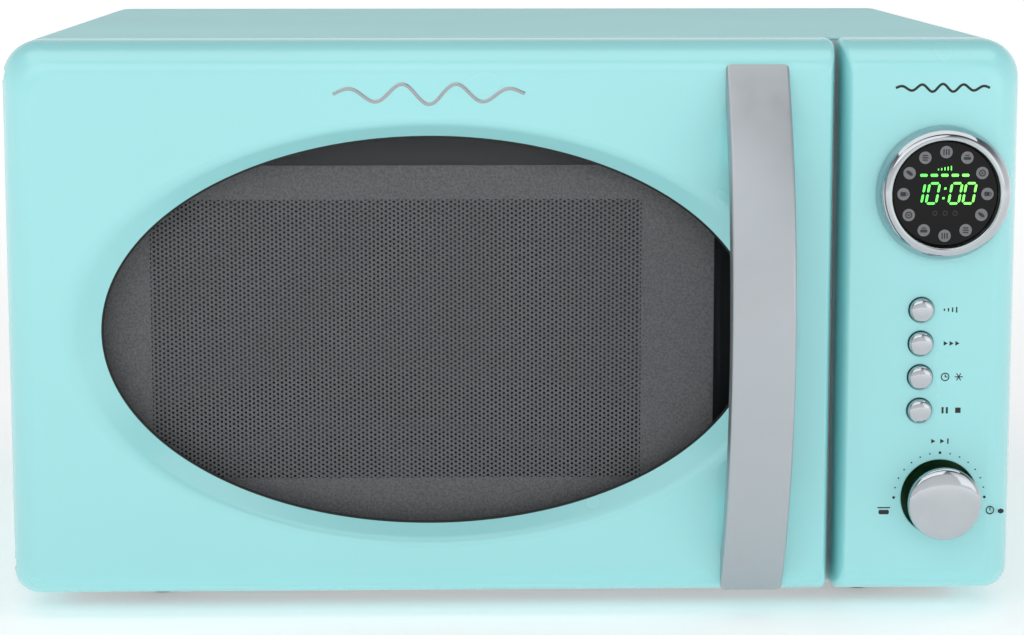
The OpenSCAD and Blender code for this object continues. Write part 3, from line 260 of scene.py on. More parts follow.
def satin_enamel(name, code, rough=0.38):
    """Baked enamel inside the oven: satin, with a fine speckle just under a millimetre across."""
    enamel, tree, look, place = new_material(name)
    speck = add(tree, NOISE, {"Vector": place}, Scale=1000 / 0.9, Detail=2.0)
    add(tree, RAMP, {"Fac": speck}, look["Base Color"], ((0.35, shade(code, 0.9)), (0.65, shade(code, 1.08))))
    cloud = add(tree, NOISE, {"Vector": place}, Scale=1000 / 20, Detail=3.0)
    add(tree, RANGE, {"Value": cloud}, look["Roughness"], To_Min=rough, To_Max=rough + 0.1)
    add(tree, BUMP, {"Height": speck}, look["Normal"], Strength=0.15, Distance=0.04 * MM)
    return enamel


def moulded_plastic(name, code, rough=0.45, grain_mm=0.7):
    """Unpainted moulded plastic: an even colour with a fine spark-eroded grain."""
    plastic, tree, look, place = new_material(name)
    grain = add(tree, NOISE, {"Vector": place}, Scale=1000 / grain_mm, Detail=2.0)
    add(tree, RAMP, {"Fac": grain}, look["Base Color"], ((0.3, shade(code, 0.93)), (0.7, shade(code, 1.05))))
    add(tree, RANGE, {"Value": grain}, look["Roughness"], To_Min=rough, To_Max=rough + 0.12)
    add(tree, BUMP, {"Height": grain}, look["Normal"], Strength=0.2, Distance=0.03 * MM)
    return plastic


def rolled_aluminium(name, code):
    """Rolled aluminium: long fine lines along the sheet, drawn coarser than the real ones so that they show."""
    metal, tree, look, place = new_material(name, Metallic=1.0)
    stretched = add(tree, "ShaderNodeMapping", {"Vector": place}, Scale=(1.0, 0.04, 1.0))
    lines = add(tree, NOISE, {"Vector": stretched}, Scale=1000 / 0.8, Detail=4.0)
    add(tree, RAMP, {"Fac": lines}, look["Base Color"], ((0.3, shade(code, 0.93)), (0.7, code)))
    add(tree, RANGE, {"Value": lines}, look["Roughness"], To_Min=0.28, To_Max=0.42)
    return metal


def wound_copper(name, code):
    """Enamelled copper wire in layers: a round rise for each 1.2 mm wire, with painted shade in the grooves between
    the wires.
    """
    copper, tree, look, place = new_material(name, Metallic=0.7, Roughness=0.35)
    ridges_with_groove_shade = add(tree, "ShaderNodeTexWave", {"Vector": place}, bands_direction="Z", Scale=1000 / 1.2 / 6.283,
                 Distortion=0.3).outputs["Fac"]
    # Painted shade: the colour falls to under half its value in the grooves between the wires.
    add(tree, RAMP, {"Fac": ridges_with_groove_shade}, look["Base Color"], ((0.1, shade(code, 0.45)), (0.8, code)))
    add(tree, BUMP, {"Height": ridges_with_groove_shade}, look["Normal"], Strength=0.6, Distance=0.4 * MM)
    return copper


def circuit_laminate(name, code):
    """Solder-masked circuit board: paler copper tracks under the green mask."""
    board, tree, look, place = new_material(name)
    add(tree, "ShaderNodeTexBrick", {"Vector": place}, look["Base Color"], Scale=1000 / 9.0, Mortar_Size=0.04,
        Color1=linear(code), Color2=linear(shade(code, 0.9)), Mortar=linear(shade(code, 1.6)))
    cloud = add(tree, NOISE, {"Vector": place}, Scale=1000 / 4, Detail=3.0)
    add(tree, RANGE, {"Value": cloud}, look["Roughness"], To_Min=0.25, To_Max=0.4)
    return board


def pressed_mica(name, code):
    """Mica sheet: pale brown flakes about 5 mm across, pressed together."""
    mica, tree, look, place = new_material(name)
    flakes = add(tree, "ShaderNodeTexVoronoi", {"Vector": place}, Scale=1000 / 5.0).outputs["Color"]
    value = add(tree, "ShaderNodeRGBToBW", {"Color": flakes})
    add(tree, RAMP, {"Fac": value}, look["Base Color"], ((0.2, shade(code, 0.85)), (0.8, shade(code, 1.1))))
    add(tree, RANGE, {"Value": value}, look["Roughness"], To_Min=0.3, To_Max=0.5)
    return mica


def clear_glass(name, code, alpha, rough=0.02, shine=0.5):
    """Pressed or float glass, seen as a thin tinted layer; a coated pane has a low shine."""
    glass, tree, look, place = new_material(name, Alpha=alpha, Specular_IOR_Level=shine, Roughness=rough, IOR=1.52)
    ripple = add(tree, NOISE, {"Vector": place}, Scale=1000 / 40, Detail=1.0)
    add(tree, RAMP, {"Fac": ripple}, look["Base Color"], ((0.3, shade(code, 0.97)), (0.7, code)))
    add(tree, BUMP, {"Height": ripple}, look["Normal"], Strength=0.05, Distance=0.05 * MM)
    return glass


def gloss_black(name, code):
    """Gloss black acrylic: deep colour under a polished surface."""
    acrylic, tree, look, place = new_material(name, IOR=1.49, Specular_IOR_Level=0.2)
    film = add(tree, NOISE, {"Vector": place}, Scale=1000 / 9, Detail=3.0)
    add(tree, RAMP, {"Fac": film}, look["Base Color"], ((0.3, shade(code, 0.9)), (0.7, shade(code, 1.15))))
    add(tree, RANGE, {"Value": film}, look["Roughness"], To_Min=0.05, To_Max=0.12)
    return acrylic


def lit_segment(name, low, high):
    """Lit display segment: green at the display's left, yellow-green at its right."""
    light, tree, look, place = new_material(name, Emission_Strength=1.6, Roughness=0.4)
    centre = middle(LENS)
    per_metre = 20.0
    local = add(tree, "ShaderNodeMapping", {"Vector": place}, Scale=(per_metre,) * 3,
                Location=(0.5 - centre.x * per_metre, 0, 0.5 - centre.z * per_metre))
    across = add(tree, "ShaderNodeSeparateXYZ", {"Vector": local}).outputs["X"]
    glow = add(tree, RAMP, {"Fac": across}, look["Emission Color"], ((0.1, low), (0.9, high)))
    tree.links.new(glow.outputs["Color"], look["Base Color"])
    return light


def printed_ink(name, code, rough=0.4):
    """Pad-printed ink: a thin even film with slightly broken edges."""
    ink, tree, look, place = new_material(name)
    grain = add(tree, NOISE, {"Vector": place}, Scale=1000 / 0.5, Detail=2.0)
    add(tree, RAMP, {"Fac": grain}, look["Base Color"], ((0.3, shade(code, 0.94)), (0.7, shade(code, 1.04))))
    add(tree, RANGE, {"Value": grain}, look["Roughness"], To_Min=rough, To_Max=rough + 0.1)
    return ink


def bare_floor(name, code):
    """Matt studio floor, lit from within like a light table, and less so near the oven: a painted shadow where its
    shadow lies.
    """
    paper, tree, look, place = new_material(
        name, Roughness=0.75, Specular_IOR_Level=0.1, Emission_Color=linear(code))
    drift = add(tree, NOISE, {"Vector": place}, Scale=1000 / 400, Detail=0.0)
    add(tree, RAMP, {"Fac": drift}, look["Base Color"], ((0.0, shade(code, 0.98)), (1.0, code)))
    # Painted shadow: the glow is weakest near the oven and grows with distance from it.
    reach = add(tree, "ShaderNodeVectorMath", {"Vector": place}, operation="LENGTH").outputs["Value"]
    add(tree, RANGE, {"Value": reach}, look["Emission Strength"], From_Min=0.25, From_Max=2.2, To_Min=0.34,
        To_Max=0.86)
    paper.cycles.emission_sampling = "NONE"
    return paper


MATERIALS = {}


def make_materials(finish):
    """Makes every finish once, under the name of the record's material slot where it has one."""
    MATERIALS.update({
        "aqua_paint": gloss_paint("aqua_powder_paint", finish.top),
        "aqua_moulding": gloss_abs("aqua_gloss_abs", finish.aqua),
        "chrome_plate": bright_chrome("chrome_plate", finish.chrome),
        "satin_chrome": bright_chrome("satin_chrome", shade(finish.chrome, 0.98), 0.4),
        "zinc_steel": zinc_sheet("zinc_plated_steel", "#B4B6B8"),
        "grey_paint": satin_enamel("grey_enamel", finish.cavity),
        "screen_paint": satin_enamel("screen_enamel", "#B8B9BC", 0.42),
        # The flange's enamel is the screen's grey made darker: painted shade for the band round the raised plate.
        "dark_enamel": satin_enamel("flange_enamel_painted_shade", "#747476", 0.45),
        "mica": pressed_mica("pressed_mica", "#B9A98A"),
        "aluminium_sheet": rolled_aluminium("rolled_aluminium", "#D2D4D6"),
        "core_steel": satin_enamel("varnished_core_steel", "#4A4B4C", 0.5),
        "copper_winding": wound_copper("wound_copper", "#B5653A"),
        "black_plastic": moulded_plastic("black_pbt", "#1C1D1F"),
        "black_rubber": moulded_plastic("moulded_rubber", "#131313", 0.6, 1.2),
        "grey_plastic": moulded_plastic("grey_polypropylene", "#9B9D9F"),
        "white_plastic": moulded_plastic("natural_acetal", "#E4E4E0", 0.35),
        "lamp_glass": clear_glass("bulb_glass", "#FFF3D6", 0.45),
        "white_ceramic": moulded_plastic("steatite_ceramic", "#E6E2D6", 0.3, 1.5),
        "circuit_board": circuit_laminate("circuit_laminate", "#2F6A3B"),
        "tray_glass": clear_glass("pressed_glass", "#D6ECEA", 0.32, 0.04),
        "tinted_window": clear_glass("smoked_glass", "#101314", 0.3, shine=0.12),
        "black_lens": gloss_black("black_acrylic", "#08080A"),
        "clear_film": clear_glass("clear_film", "#8E9494", 0.05, 0.2, 0.1),
        "lit_green": lit_segment("lit_segment", "#3CD250", finish.digits),
        "grey_ink": printed_ink("grey_ink", "#76777A"),
        "black_ink": printed_ink("black_ink", "#17191B"),
        "dark_ink": printed_ink("dark_ink", "#26282B"),
        "silver_ink": bright_chrome("silver_foil", "#A9ADB1", 0.25),
        "floor": bare_floor("studio_paper", "#F6F6F6"),
    })


# ---- Modelling by hand ----

def clear():
    """Leaves edit mode and deselects everything."""
    if bpy.context.mode != "OBJECT":
        bpy.ops.object.mode_set(mode="OBJECT")
    bpy.ops.object.select_all(action="DESELECT")


def activate(piece):
    """Makes one piece the only selected one."""
    clear()
    piece.select_set(True)
    bpy.context.view_layer.objects.active = piece


def settle(name):
    """Names the selected piece and applies its place, turn and size to its mesh."""
    piece = bpy.context.object
    piece.name = name
    piece.data.name = name
    bpy.ops.object.transform_apply(location=True, rotation=True, scale=True)
    return piece


def open_mesh(piece):
    """Opens a piece in edit mode with everything selected."""
    activate(piece)
    bpy.ops.object.mode_set(mode="EDIT")
    bpy.ops.mesh.select_mode(type="VERT")
    bpy.ops.mesh.select_all(action="SELECT")


def pick(piece, kind, test):
    """Selects the vertices, edges or faces whose middle passes a test, in edit mode."""
    bpy.ops.mesh.select_mode(type=kind)
    bpy.ops.mesh.select_all(action="DESELECT")
    mesh = bmesh.from_edit_mesh(piece.data)
    items = {"VERT": mesh.verts, "EDGE": mesh.edges, "FACE": mesh.faces}[kind]
    for item in items:
        if kind == "VERT":
            spot = item.co
        else:
            spot = sum((v.co for v in item.verts), Vector()) / len(item.verts)
        item.select_set(bool(test(spot)))
    mesh.select_flush(kind != "VERT")
    bmesh.update_edit_mesh(piece.data)


def grow(steps, about):
    """Extrudes the selection in (move, scale) steps, each scaled about a point that moves along."""
    for move, scale in steps:
        bpy.ops.mesh.extrude_region_move(TRANSFORM_OT_translate={"value": move})
        about = about + Vector(move)
        if scale != (1, 1, 1):
            bpy.ops.transform.resize(value=scale, center_override=about)


def weld(threshold=0.002 * MM, outward=True):
    """Merges doubles and, for a new closed shape, makes its faces point outwards."""
    bpy.ops.mesh.select_all(action="SELECT")
    bpy.ops.mesh.remove_doubles(threshold=threshold)
    if outward:
        bpy.ops.mesh.normals_make_consistent(inside=False)
    bpy.ops.object.mode_set(mode="OBJECT")


def turned(name, centre, axis, profile, sides=96, ring=False):
    """A turned piece. The profile gives (radius, height) steps in mm along the axis, from the centre's own height.

    A ring's profile goes right round its section; any other piece is closed by its end faces."""
    along = {"Z": Vector((0, 0, 1)), "Y": Vector((0, -1, 0))}[axis]
    tilt = {"Z": (0, 0, 0), "Y": (math.pi / 2, 0, 0)}[axis]
    steps = profile + profile[:1] if ring else profile
    radius, height = steps[0]
    spot = centre + along * height * MM
    clear()
    bpy.ops.mesh.primitive_circle_add(vertices=sides, radius=radius * MM, fill_type="NOTHING" if ring else "NGON",
                                      location=spot, rotation=tilt)
    piece = settle(name)
    open_mesh(piece)
    moves = []
    for (r0, h0), (r1, h1) in zip(steps, steps[1:]):
        factor = r1 / r0
        moves.append((tuple(along * (h1 - h0) * MM), (factor, factor, 1) if axis == "Z" else (factor, 1, factor)))
    grow(moves, spot)
    weld()
    return piece


def modify(piece, kind, **settings):
    """Adds a modifier with its settings to the active piece and applies it."""
    bpy.ops.object.modifier_add(type=kind)
    modifier = piece.modifiers[-1]
    for key, value in settings.items():
        setattr(modifier, key, value)
    bpy.ops.object.modifier_apply(modifier=modifier.name)


def carve(piece, tool, operation="DIFFERENCE"):
    """Cuts or joins one piece with another, which is used up."""
    activate(piece)
    modify(piece, "BOOLEAN", operation=operation, solver="EXACT", object=tool)
    bpy.data.objects.remove(tool)


def join(name, pieces):
    """Makes several pieces one."""
    clear()
    for piece in pieces:
        piece.select_set(True)
    bpy.context.view_layer.objects.active = pieces[0]
    bpy.ops.object.join()
    return settle(name)


def finish_piece(piece, body, finish, stands_for=(), angle=35, even=False):
    """Smooths a piece, gives it its finish, hangs it on the empty of the body that carries it, and hides the nodes it
    stands for.
    """
    activate(piece)
    bpy.ops.object.shade_smooth_by_angle(angle=math.radians(angle))
    if even:
        modify(piece, "WEIGHTED_NORMAL", keep_sharp=True, weight=100)
    piece.data.materials.clear()
    piece.data.materials.append(MATERIALS[finish])
    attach(piece, body)
    if stands_for:
        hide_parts(*stands_for)
    return piece


def corners(radius):
    """The same radius at all four (right, top) corners."""
    return {(right, top): radius for right in (False, True) for top in (False, True)}


def rounded_plate(name, low, high, back, radii, segments=10):
    """An upright plate facing the front, with its own radius at each (right, top) corner."""
    clear()
    centre = ((low[0] + high[0]) / 2, back, (low[1] + high[1]) / 2)
    bpy.ops.mesh.primitive_plane_add(size=1, location=centre, rotation=(math.pi / 2, 0, 0))
    bpy.context.object.scale = (high[0] - low[0], high[1] - low[1], 1)
    piece = settle(name)
    open_mesh(piece)
    for (right, top), radius in radii.items():
        corner = Vector((high[0] if right else low[0], back, high[1] if top else low[1]))
        pick(piece, "VERT", lambda spot: (spot - corner).length < 0.01 * MM)
        bpy.ops.mesh.bevel(offset=radius, segments=segments, affect="VERTICES")
    bpy.ops.mesh.select_all(action="SELECT")
    return piece


def rolled_moulding(name, box, gap_right, shrink=0.0, back=None):
    """A moulding with a rounded outline, drawn forward and rolled over softly into its flat face."""
    size = bpy.context.scene.oven_moulding
    low = (box[0].x + shrink, box[0].z + shrink)
    high = (box[1].x - shrink, box[1].z - shrink)
    back = box[1].y if back is None else back
    front = box[0].y + shrink
    radii = corners(0)
    for right, top in radii:
        outer = size.top_radius if top else size.bottom_radius
        radii[(right, top)] = max((size.gap_radius if right == gap_right else outer) - shrink, 0.4 * MM)
    piece = rounded_plate(name, low, high, back, radii)
    wide, tall = high[0] - low[0], high[1] - low[1]
    share = 1 + size.gap_roll
    still = low[0] + wide / share if gap_right else high[0] - wide / share
    steps = [((0, front + size.roll_deep - back, 0), (1, 1, 1))]
    done, depth = 0.0, size.roll_deep
    count = 14
    for k in range(1, count + 1):
        bend = math.pi / 2 * k / count
        inset = size.roll_in * (1 - math.cos(bend))
        behind = size.roll_deep * (1 - math.sin(bend))
        scale = ((wide - share * inset) / (wide - share * done), 1, (tall - 2 * inset) / (tall - 2 * done))
        steps.append(((0, behind - depth, 0), scale))
        done, depth = inset, behind
    grow(steps, Vector((still, back, (low[1] + high[1]) / 2)))
    weld()
    return piece


def ellipse_form(name, centre, steps, sides=160):
    """An upright elliptical form. Steps give (half width, half height, y) from back to front."""
    clear()
    wide, tall, start = steps[0]
    bpy.ops.mesh.primitive_circle_add(vertices=sides, radius=1, fill_type="NGON", rotation=(math.pi / 2, 0, 0),
                                      location=(centre.x, start, centre.z))
    bpy.context.object.scale = (wide, tall, 1)
    piece = settle(name)
    open_mesh(piece)
    moves = []
    for (w0, t0, y0), (w1, t1, y1) in zip(steps, steps[1:]):
        moves.append(((0, y1 - y0, 0), (w1 / w0, 1, t1 / t0)))
    grow(moves, Vector((centre.x, start, centre.z)))
    weld()
    return piece


def mark(name, x, z, face, wide, tall, rounding=0.0, turn=0.0, sides=0, thick=0.12, segments=5):
    """A thin flat mark standing proud of a face; sizes are in mm and places in metres."""
    clear()
    tilt = (math.pi / 2, math.radians(turn), 0)
    if sides:
        bpy.ops.mesh.primitive_circle_add(vertices=sides, radius=0.5, fill_type="NGON", location=(x, face, z),
                                          rotation=tilt)
    else:
        bpy.ops.mesh.primitive_plane_add(size=1, location=(x, face, z), rotation=tilt)
    bpy.context.object.scale = (wide * MM, tall * MM, 1)
    piece = settle(name)
    open_mesh(piece)
    if rounding:
        bpy.ops.mesh.bevel(offset=rounding * MM, segments=segments, affect="VERTICES", clamp_overlap=True)
        bpy.ops.mesh.select_all(action="SELECT")
    grow([((0, -thick * MM, 0), (1, 1, 1))], Vector((x, face, z)))
    weld()
    return piece


def hoop(name, x, z, face, radius, width, thick=0.12, sides=24):
    """A thin flat ring standing proud of a face."""
    section = [(radius, 0.0), (radius, thick), (radius - width, thick), (radius - width, 0.0)]
    return turned(name, Vector((x, face, z)), "Y", section, sides, ring=True)


def stroke(name, points, width, flat=0.3):
    """A thin rounded line through (x, y, z) points, lying on a face."""
    curve = bpy.data.curves.new(name, "CURVE")
    curve.dimensions = "3D"
    curve.bevel_depth = width * MM / 2
    curve.bevel_resolution = 2
    curve.use_fill_caps = True
    line = curve.splines.new("POLY")
    line.points.add(len(points) - 1)
    face = points[0][1]
    for point, spot in zip(line.points, points):
        point.co = (spot[0], 0.0, spot[2], 1.0)
    piece = bpy.data.objects.new(name, curve)
    bpy.context.scene.collection.objects.link(piece)
    activate(piece)
    bpy.ops.object.convert(target="MESH")
    piece = bpy.context.object
    piece.scale = (1, flat, 1)
    piece.location = (0, face, 0)
    settle(name)
    open_mesh(piece)
    weld(0.005 * MM)
    return piece


# ---- Pieces ----

class OVEN_OT_carried_nodes(bpy.types.Operator):
    """Gives every carried-over CAD node its real finish."""
    bl_idname = "oven.carried_nodes"
    bl_label = "Finish carried nodes"

    def execute(self, context):
        for part in frame["record"]["subparts"]:
            piece = frame["nodes"][part["node"]]
            piece.data.materials.clear()
            piece.data.materials.append(MATERIALS[part["material_slot"]])
        return {"FINISHED"}


class OVEN_OT_door_moulding(bpy.types.Operator):
    """Door moulding: a hollow rolled shell with the window's sloping elliptical rim."""
    bl_idname = "oven.door_moulding"
    bl_label = "Door moulding"

    def execute(self, context):
        size = context.scene.oven_moulding
        glass_y = GLASS[0].y
        half_wide = (GLASS[1].x - GLASS[0].x) / 2 - size.glass_lap
        half_tall = (GLASS[1].z - GLASS[0].z) / 2 - size.glass_lap
        door = rolled_moulding("door_moulding", DOOR, gap_right=True)
        hollow = rolled_moulding("hollow", DOOR, True, shrink=size.wall, back=DOOR[1].y + size.wall)
        carve(door, hollow)
        depth = glass_y - FACE_Y
        backing = ellipse_form("backing", WINDOW, [
            (half_wide + 2 * size.wall, half_tall + 2 * size.wall, glass_y),
            (half_wide + size.rim_width + size.wall, half_tall + size.rim_height + size.wall,
             FACE_Y + size.wall / 2)])
        carve(door, backing, "UNION")
        steps = [(half_wide, half_tall, DOOR[1].y + size.wall), (half_wide, half_tall, glass_y - 0.6 * MM)]
        # The rim slopes evenly up to its knee, and then curves out until it is level with the face.
        knee, blend_end, side_share, count = 0.62, 1.42, 0.86, 12
        for k in range(count + 1):
            t = k / count
            out = (1 - t) ** 2 * knee + 2 * t * (1 - t) * 1.0 + t ** 2 * blend_end
            deep = (1 - t) ** 2 * (1 - knee)
            steps.append((half_wide + size.rim_width * out * side_share, half_tall + size.rim_height * out,
                          FACE_Y + depth * deep - 0.03 * MM * t))
        steps.append((steps[-1][0], steps[-1][1], FACE_Y - size.wall))
        opening = ellipse_form("opening", WINDOW, steps, 200)
        carve(door, opening)
        # Pockets in the hinge side give the bracket arms and pin heads room as the door swings.
        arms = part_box("hinge_brackets")
        behind = DOOR[1].y + size.wall
        room, head, arm = 0.4 * MM, 1.2 * MM, 3 * MM
        for bottom, top in ((arms[0].z - room - head, arms[0].z + arm + room),
                            (arms[1].z - arm - room, arms[1].z + room + head)):
            pocket = rounded_plate("pocket", (DOOR[0].x - size.wall, bottom), (arms[1].x + 0.6 * MM, top), behind,
                                   corners(room), 2)
            grow([((0, arms[0].y - 1.9 * MM - behind, 0), (1, 1, 1))], Vector((0, behind, 0)))
            weld()
            carve(door, pocket)
        finish_piece(door, "door", "aqua_moulding", stands_for=("door_frame",), even=True)
        return {"FINISHED"}


class OVEN_OT_window(bpy.types.Operator):
    """Smoked window pane with a ground edge, and the dark seal line round it."""
    bl_idname = "oven.window"
    bl_label = "Window pane"

    def execute(self, context):
        wide, tall = (GLASS[1].x - GLASS[0].x) / 2, (GLASS[1].z - GLASS[0].z) / 2
        back, front = GLASS[1].y, GLASS[0].y
        edge = 0.5 * MM
        pane = ellipse_form("window_pane", WINDOW, [
            (wide - edge, tall - edge, back), (wide, tall, back - edge), (wide, tall, front + edge),
            (wide - edge, tall - edge, front)], 200)
        finish_piece(pane, "door", "tinted_window", stands_for=("door_window",))
        lap = context.scene.oven_moulding.glass_lap
        seals = []
        for name, inset, start, end in (("window_seal", lap - 0.2 * MM, front - 0.01 * MM, front - 0.7 * MM),
                                        ("seal_hole", lap + 0.9 * MM, front + 1 * MM, front - 2 * MM)):
            seals.append(ellipse_form(name, WINDOW, [(wide - inset, tall - inset, start),
                                                     (wide - inset, tall - inset, end)], 200))
        carve(*seals)
        finish_piece(seals[0], "door", "black_rubber", angle=30)
        return {"FINISHED"}


class OVEN_OT_screen(bpy.types.Operator):
    """Perforated steel screen: hexagonal holes in a stepped plate, in two halves and a border."""
    bl_idname = "oven.screen"
    bl_label = "Perforated screen"

    def execute(self, context):
        size = context.scene.oven_screen
        front, back = SCREEN[0].y, SCREEN[0].y + size.sheet
        touching = 0.02 * MM
        left = WINDOW.x + size.left
        side = size.pitch / math.sqrt(3)
        across = side * 1.5
        bottom = WINDOW.z - size.pitch * (size.rows - 0.5) / 2 + size.down
        half = size.columns // 2 + 1
        for name, first, count in (("screen_left", 0, half), ("screen_right", half, size.columns - half)):
            x = left + first * 2 * across
            clear()
            bpy.ops.mesh.primitive_circle_add(vertices=6, radius=side, fill_type="NGON",
                                              location=(x, front, bottom), rotation=(math.pi / 2, math.pi / 6, 0))
            cell = settle(name)
            open_mesh(cell)
            bpy.ops.mesh.inset(thickness=size.pitch / 2 - size.hole, depth=0)
            bpy.ops.mesh.delete(type="FACE")
            bpy.ops.object.mode_set(mode="OBJECT")
            for offset, repeats in (((across, 0, size.pitch / 2), 2), ((2 * across, 0, 0), count),
                                    ((0, 0, size.pitch), size.rows)):
                modify(cell, "ARRAY", use_relative_offset=False, use_constant_offset=True,
                       constant_offset_displace=offset, count=repeats, use_merge_vertices=True,
                       merge_threshold=touching)
            open_mesh(cell)
            bpy.ops.mesh.remove_doubles(threshold=touching)
            bpy.ops.object.mode_set(mode="OBJECT")
            modify(cell, "SOLIDIFY", thickness=0.5 * MM, offset=-1)
            finish_piece(cell, "door", "screen_paint", angle=20)
        low = Vector((left, front + 0.1 * MM, bottom))
        high = Vector((left + (2 * size.columns - 1) * across, back, bottom + (size.rows - 0.5) * size.pitch))
        right, top = WINDOW.x + size.plate_right, WINDOW.z + size.plate_top
        border = rounded_plate("screen_border", (SCREEN[0].x, SCREEN[0].z), (right, top), back,
                               {(False, False): 6 * MM, (True, False): 6 * MM, (True, True): 2 * MM,
                                (False, True): 2 * MM})
        about = Vector(((SCREEN[0].x + right) / 2, back, (SCREEN[0].z + top) / 2))
        step = 1 - 2 * size.plate_step / (right - SCREEN[0].x)
        rise = 1 - 2 * size.plate_step / (top - SCREEN[0].z)
        grow([((0, low.y - back + 0.3 * MM, 0), (1, 1, 1)), ((0, -0.3 * MM, 0), (step, 1, rise))], about)
        weld()
        # The flange sits a little deeper than the raised plate, and its darker enamel is painted shade for the band
        # above the plate.
        flange = rounded_plate("screen_flange", (SCREEN[0].x, SCREEN[0].z), (right, SCREEN[1].z), back + 0.9 * MM,
                               corners(3 * MM))
        grow([((0, -0.8 * MM, 0), (1, 1, 1))], Vector((0, back, 0)))
        weld()
        carve(flange, self.cutter("flange_hole", low, high, back))
        finish_piece(flange, "door", "dark_enamel")
        carve(border, self.cutter("hole", low, high, back))
        finish_piece(border, "door", "screen_paint", stands_for=("door_screen",), angle=10)
        return {"FINISHED"}

    def cutter(self, name, low, high, back):
        """A block that cuts the room for the holes out of a plate."""
        hole = rounded_plate(name, (low.x, low.z), (high.x, high.z), back + 3 * MM,
                             corners(0.5 * MM), 2)
        grow([((0, -6 * MM, 0), (1, 1, 1))], Vector((0, back, 0)))
        weld()
        return hole


class OVEN_OT_handle(bpy.types.Operator):
    """Bowed chrome handle: a bar with turned-back sides, swept round its arc and rounded at its ends."""
    bl_idname = "oven.handle"
    bl_label = "Handle"

    def execute(self, context):
        size = context.scene.oven_handle
        low, high = BAR
        half_span = (high.z - low.z) / 2
        radius = size.radius
        centre = Vector((0, low.y + radius, (low.z + high.z) / 2))
        reach = math.asin(min(1.0, (half_span + 3 * MM) / radius))
        clear()
        bpy.ops.mesh.primitive_plane_add(size=1, location=((low.x + high.x) / 2, centre.y - radius + size.side / 2,
                                                           centre.z))
        bpy.context.object.scale = (high.x - low.x, size.side, 1)
        bar = settle("handle_bar")
        open_mesh(bar)
        pick(bar, "VERT", lambda spot: spot.y < centre.y - radius + 0.01 * MM)
        bpy.ops.mesh.bevel(offset=size.edge, segments=6, affect="VERTICES")
        pick(bar, "FACE", lambda spot: True)
        bpy.ops.mesh.delete(type="ONLY_FACE")
        pick(bar, "EDGE", lambda spot: spot.y > centre.y - radius + size.side - 0.01 * MM)
        bpy.ops.mesh.delete(type="EDGE_FACE")
        bpy.ops.mesh.select_all(action="SELECT")
        bpy.ops.transform.rotate(value=-reach, orient_axis="X", center_override=centre)
        bpy.ops.mesh.spin(steps=72, angle=2 * reach, center=centre, axis=(1, 0, 0))
        bpy.ops.mesh.select_all(action="SELECT")
        bpy.ops.mesh.remove_doubles(threshold=0.01 * MM)
        bpy.ops.mesh.normals_make_consistent(inside=False)
        bpy.ops.object.mode_set(mode="OBJECT")
        foremost = min(bar.data.polygons, key=lambda face: face.center.y)
        modify(bar, "SOLIDIFY", thickness=size.metal, offset=-1 if foremost.normal.y < 0 else 1)
        ends = rounded_plate("ends", (low.x - 1 * MM, low.z), (high.x + 1 * MM, high.z), FACE_Y - 0.02 * MM,
                             corners(size.end_radius), 8)
        grow([((0, low.y - FACE_Y - 2 * MM, 0), (1, 1, 1))], Vector((0, FACE_Y, 0)))
        weld()
        carve(bar, ends, "INTERSECT")
        finish_piece(bar, "door", "satin_chrome", stands_for=("handle",))
        return {"FINISHED"}


class OVEN_OT_panel_moulding(bpy.types.Operator):
    """Control panel moulding: the same rolled shell, with holes for the display, the buttons and the dial."""
    bl_idname = "oven.panel_moulding"
    bl_label = "Panel moulding"

    def execute(self, context):
        size = context.scene.oven_moulding
        panel = rolled_moulding("panel_moulding", PANEL, gap_right=False)
        hollow = rolled_moulding("hollow", PANEL, False, shrink=size.wall, back=PANEL[1].y + size.wall)
        carve(panel, hollow)
        holes = [(middle(RING), (RING[1].x - RING[0].x) / 2 / MM - 2.5, 96), (middle(DIAL), size.dial_hole / MM, 96)]
        holes += [(middle(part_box(name)), size.button_hole / MM, 48) for name in BUTTONS]
        lip = 0.4
        for centre, radius, sides in holes:
            spot = Vector((centre.x, FACE_Y, centre.z))
            drill = turned("drill", spot, "Y", [(radius, -12), (radius, -lip), (radius + 0.13, -0.5 * lip),
                                                (radius + lip, 0.02), (radius + lip, 5)], sides)
            carve(panel, drill)
        finish_piece(panel, "root", "aqua_moulding", stands_for=("control_panel",), even=True)
        return {"FINISHED"}


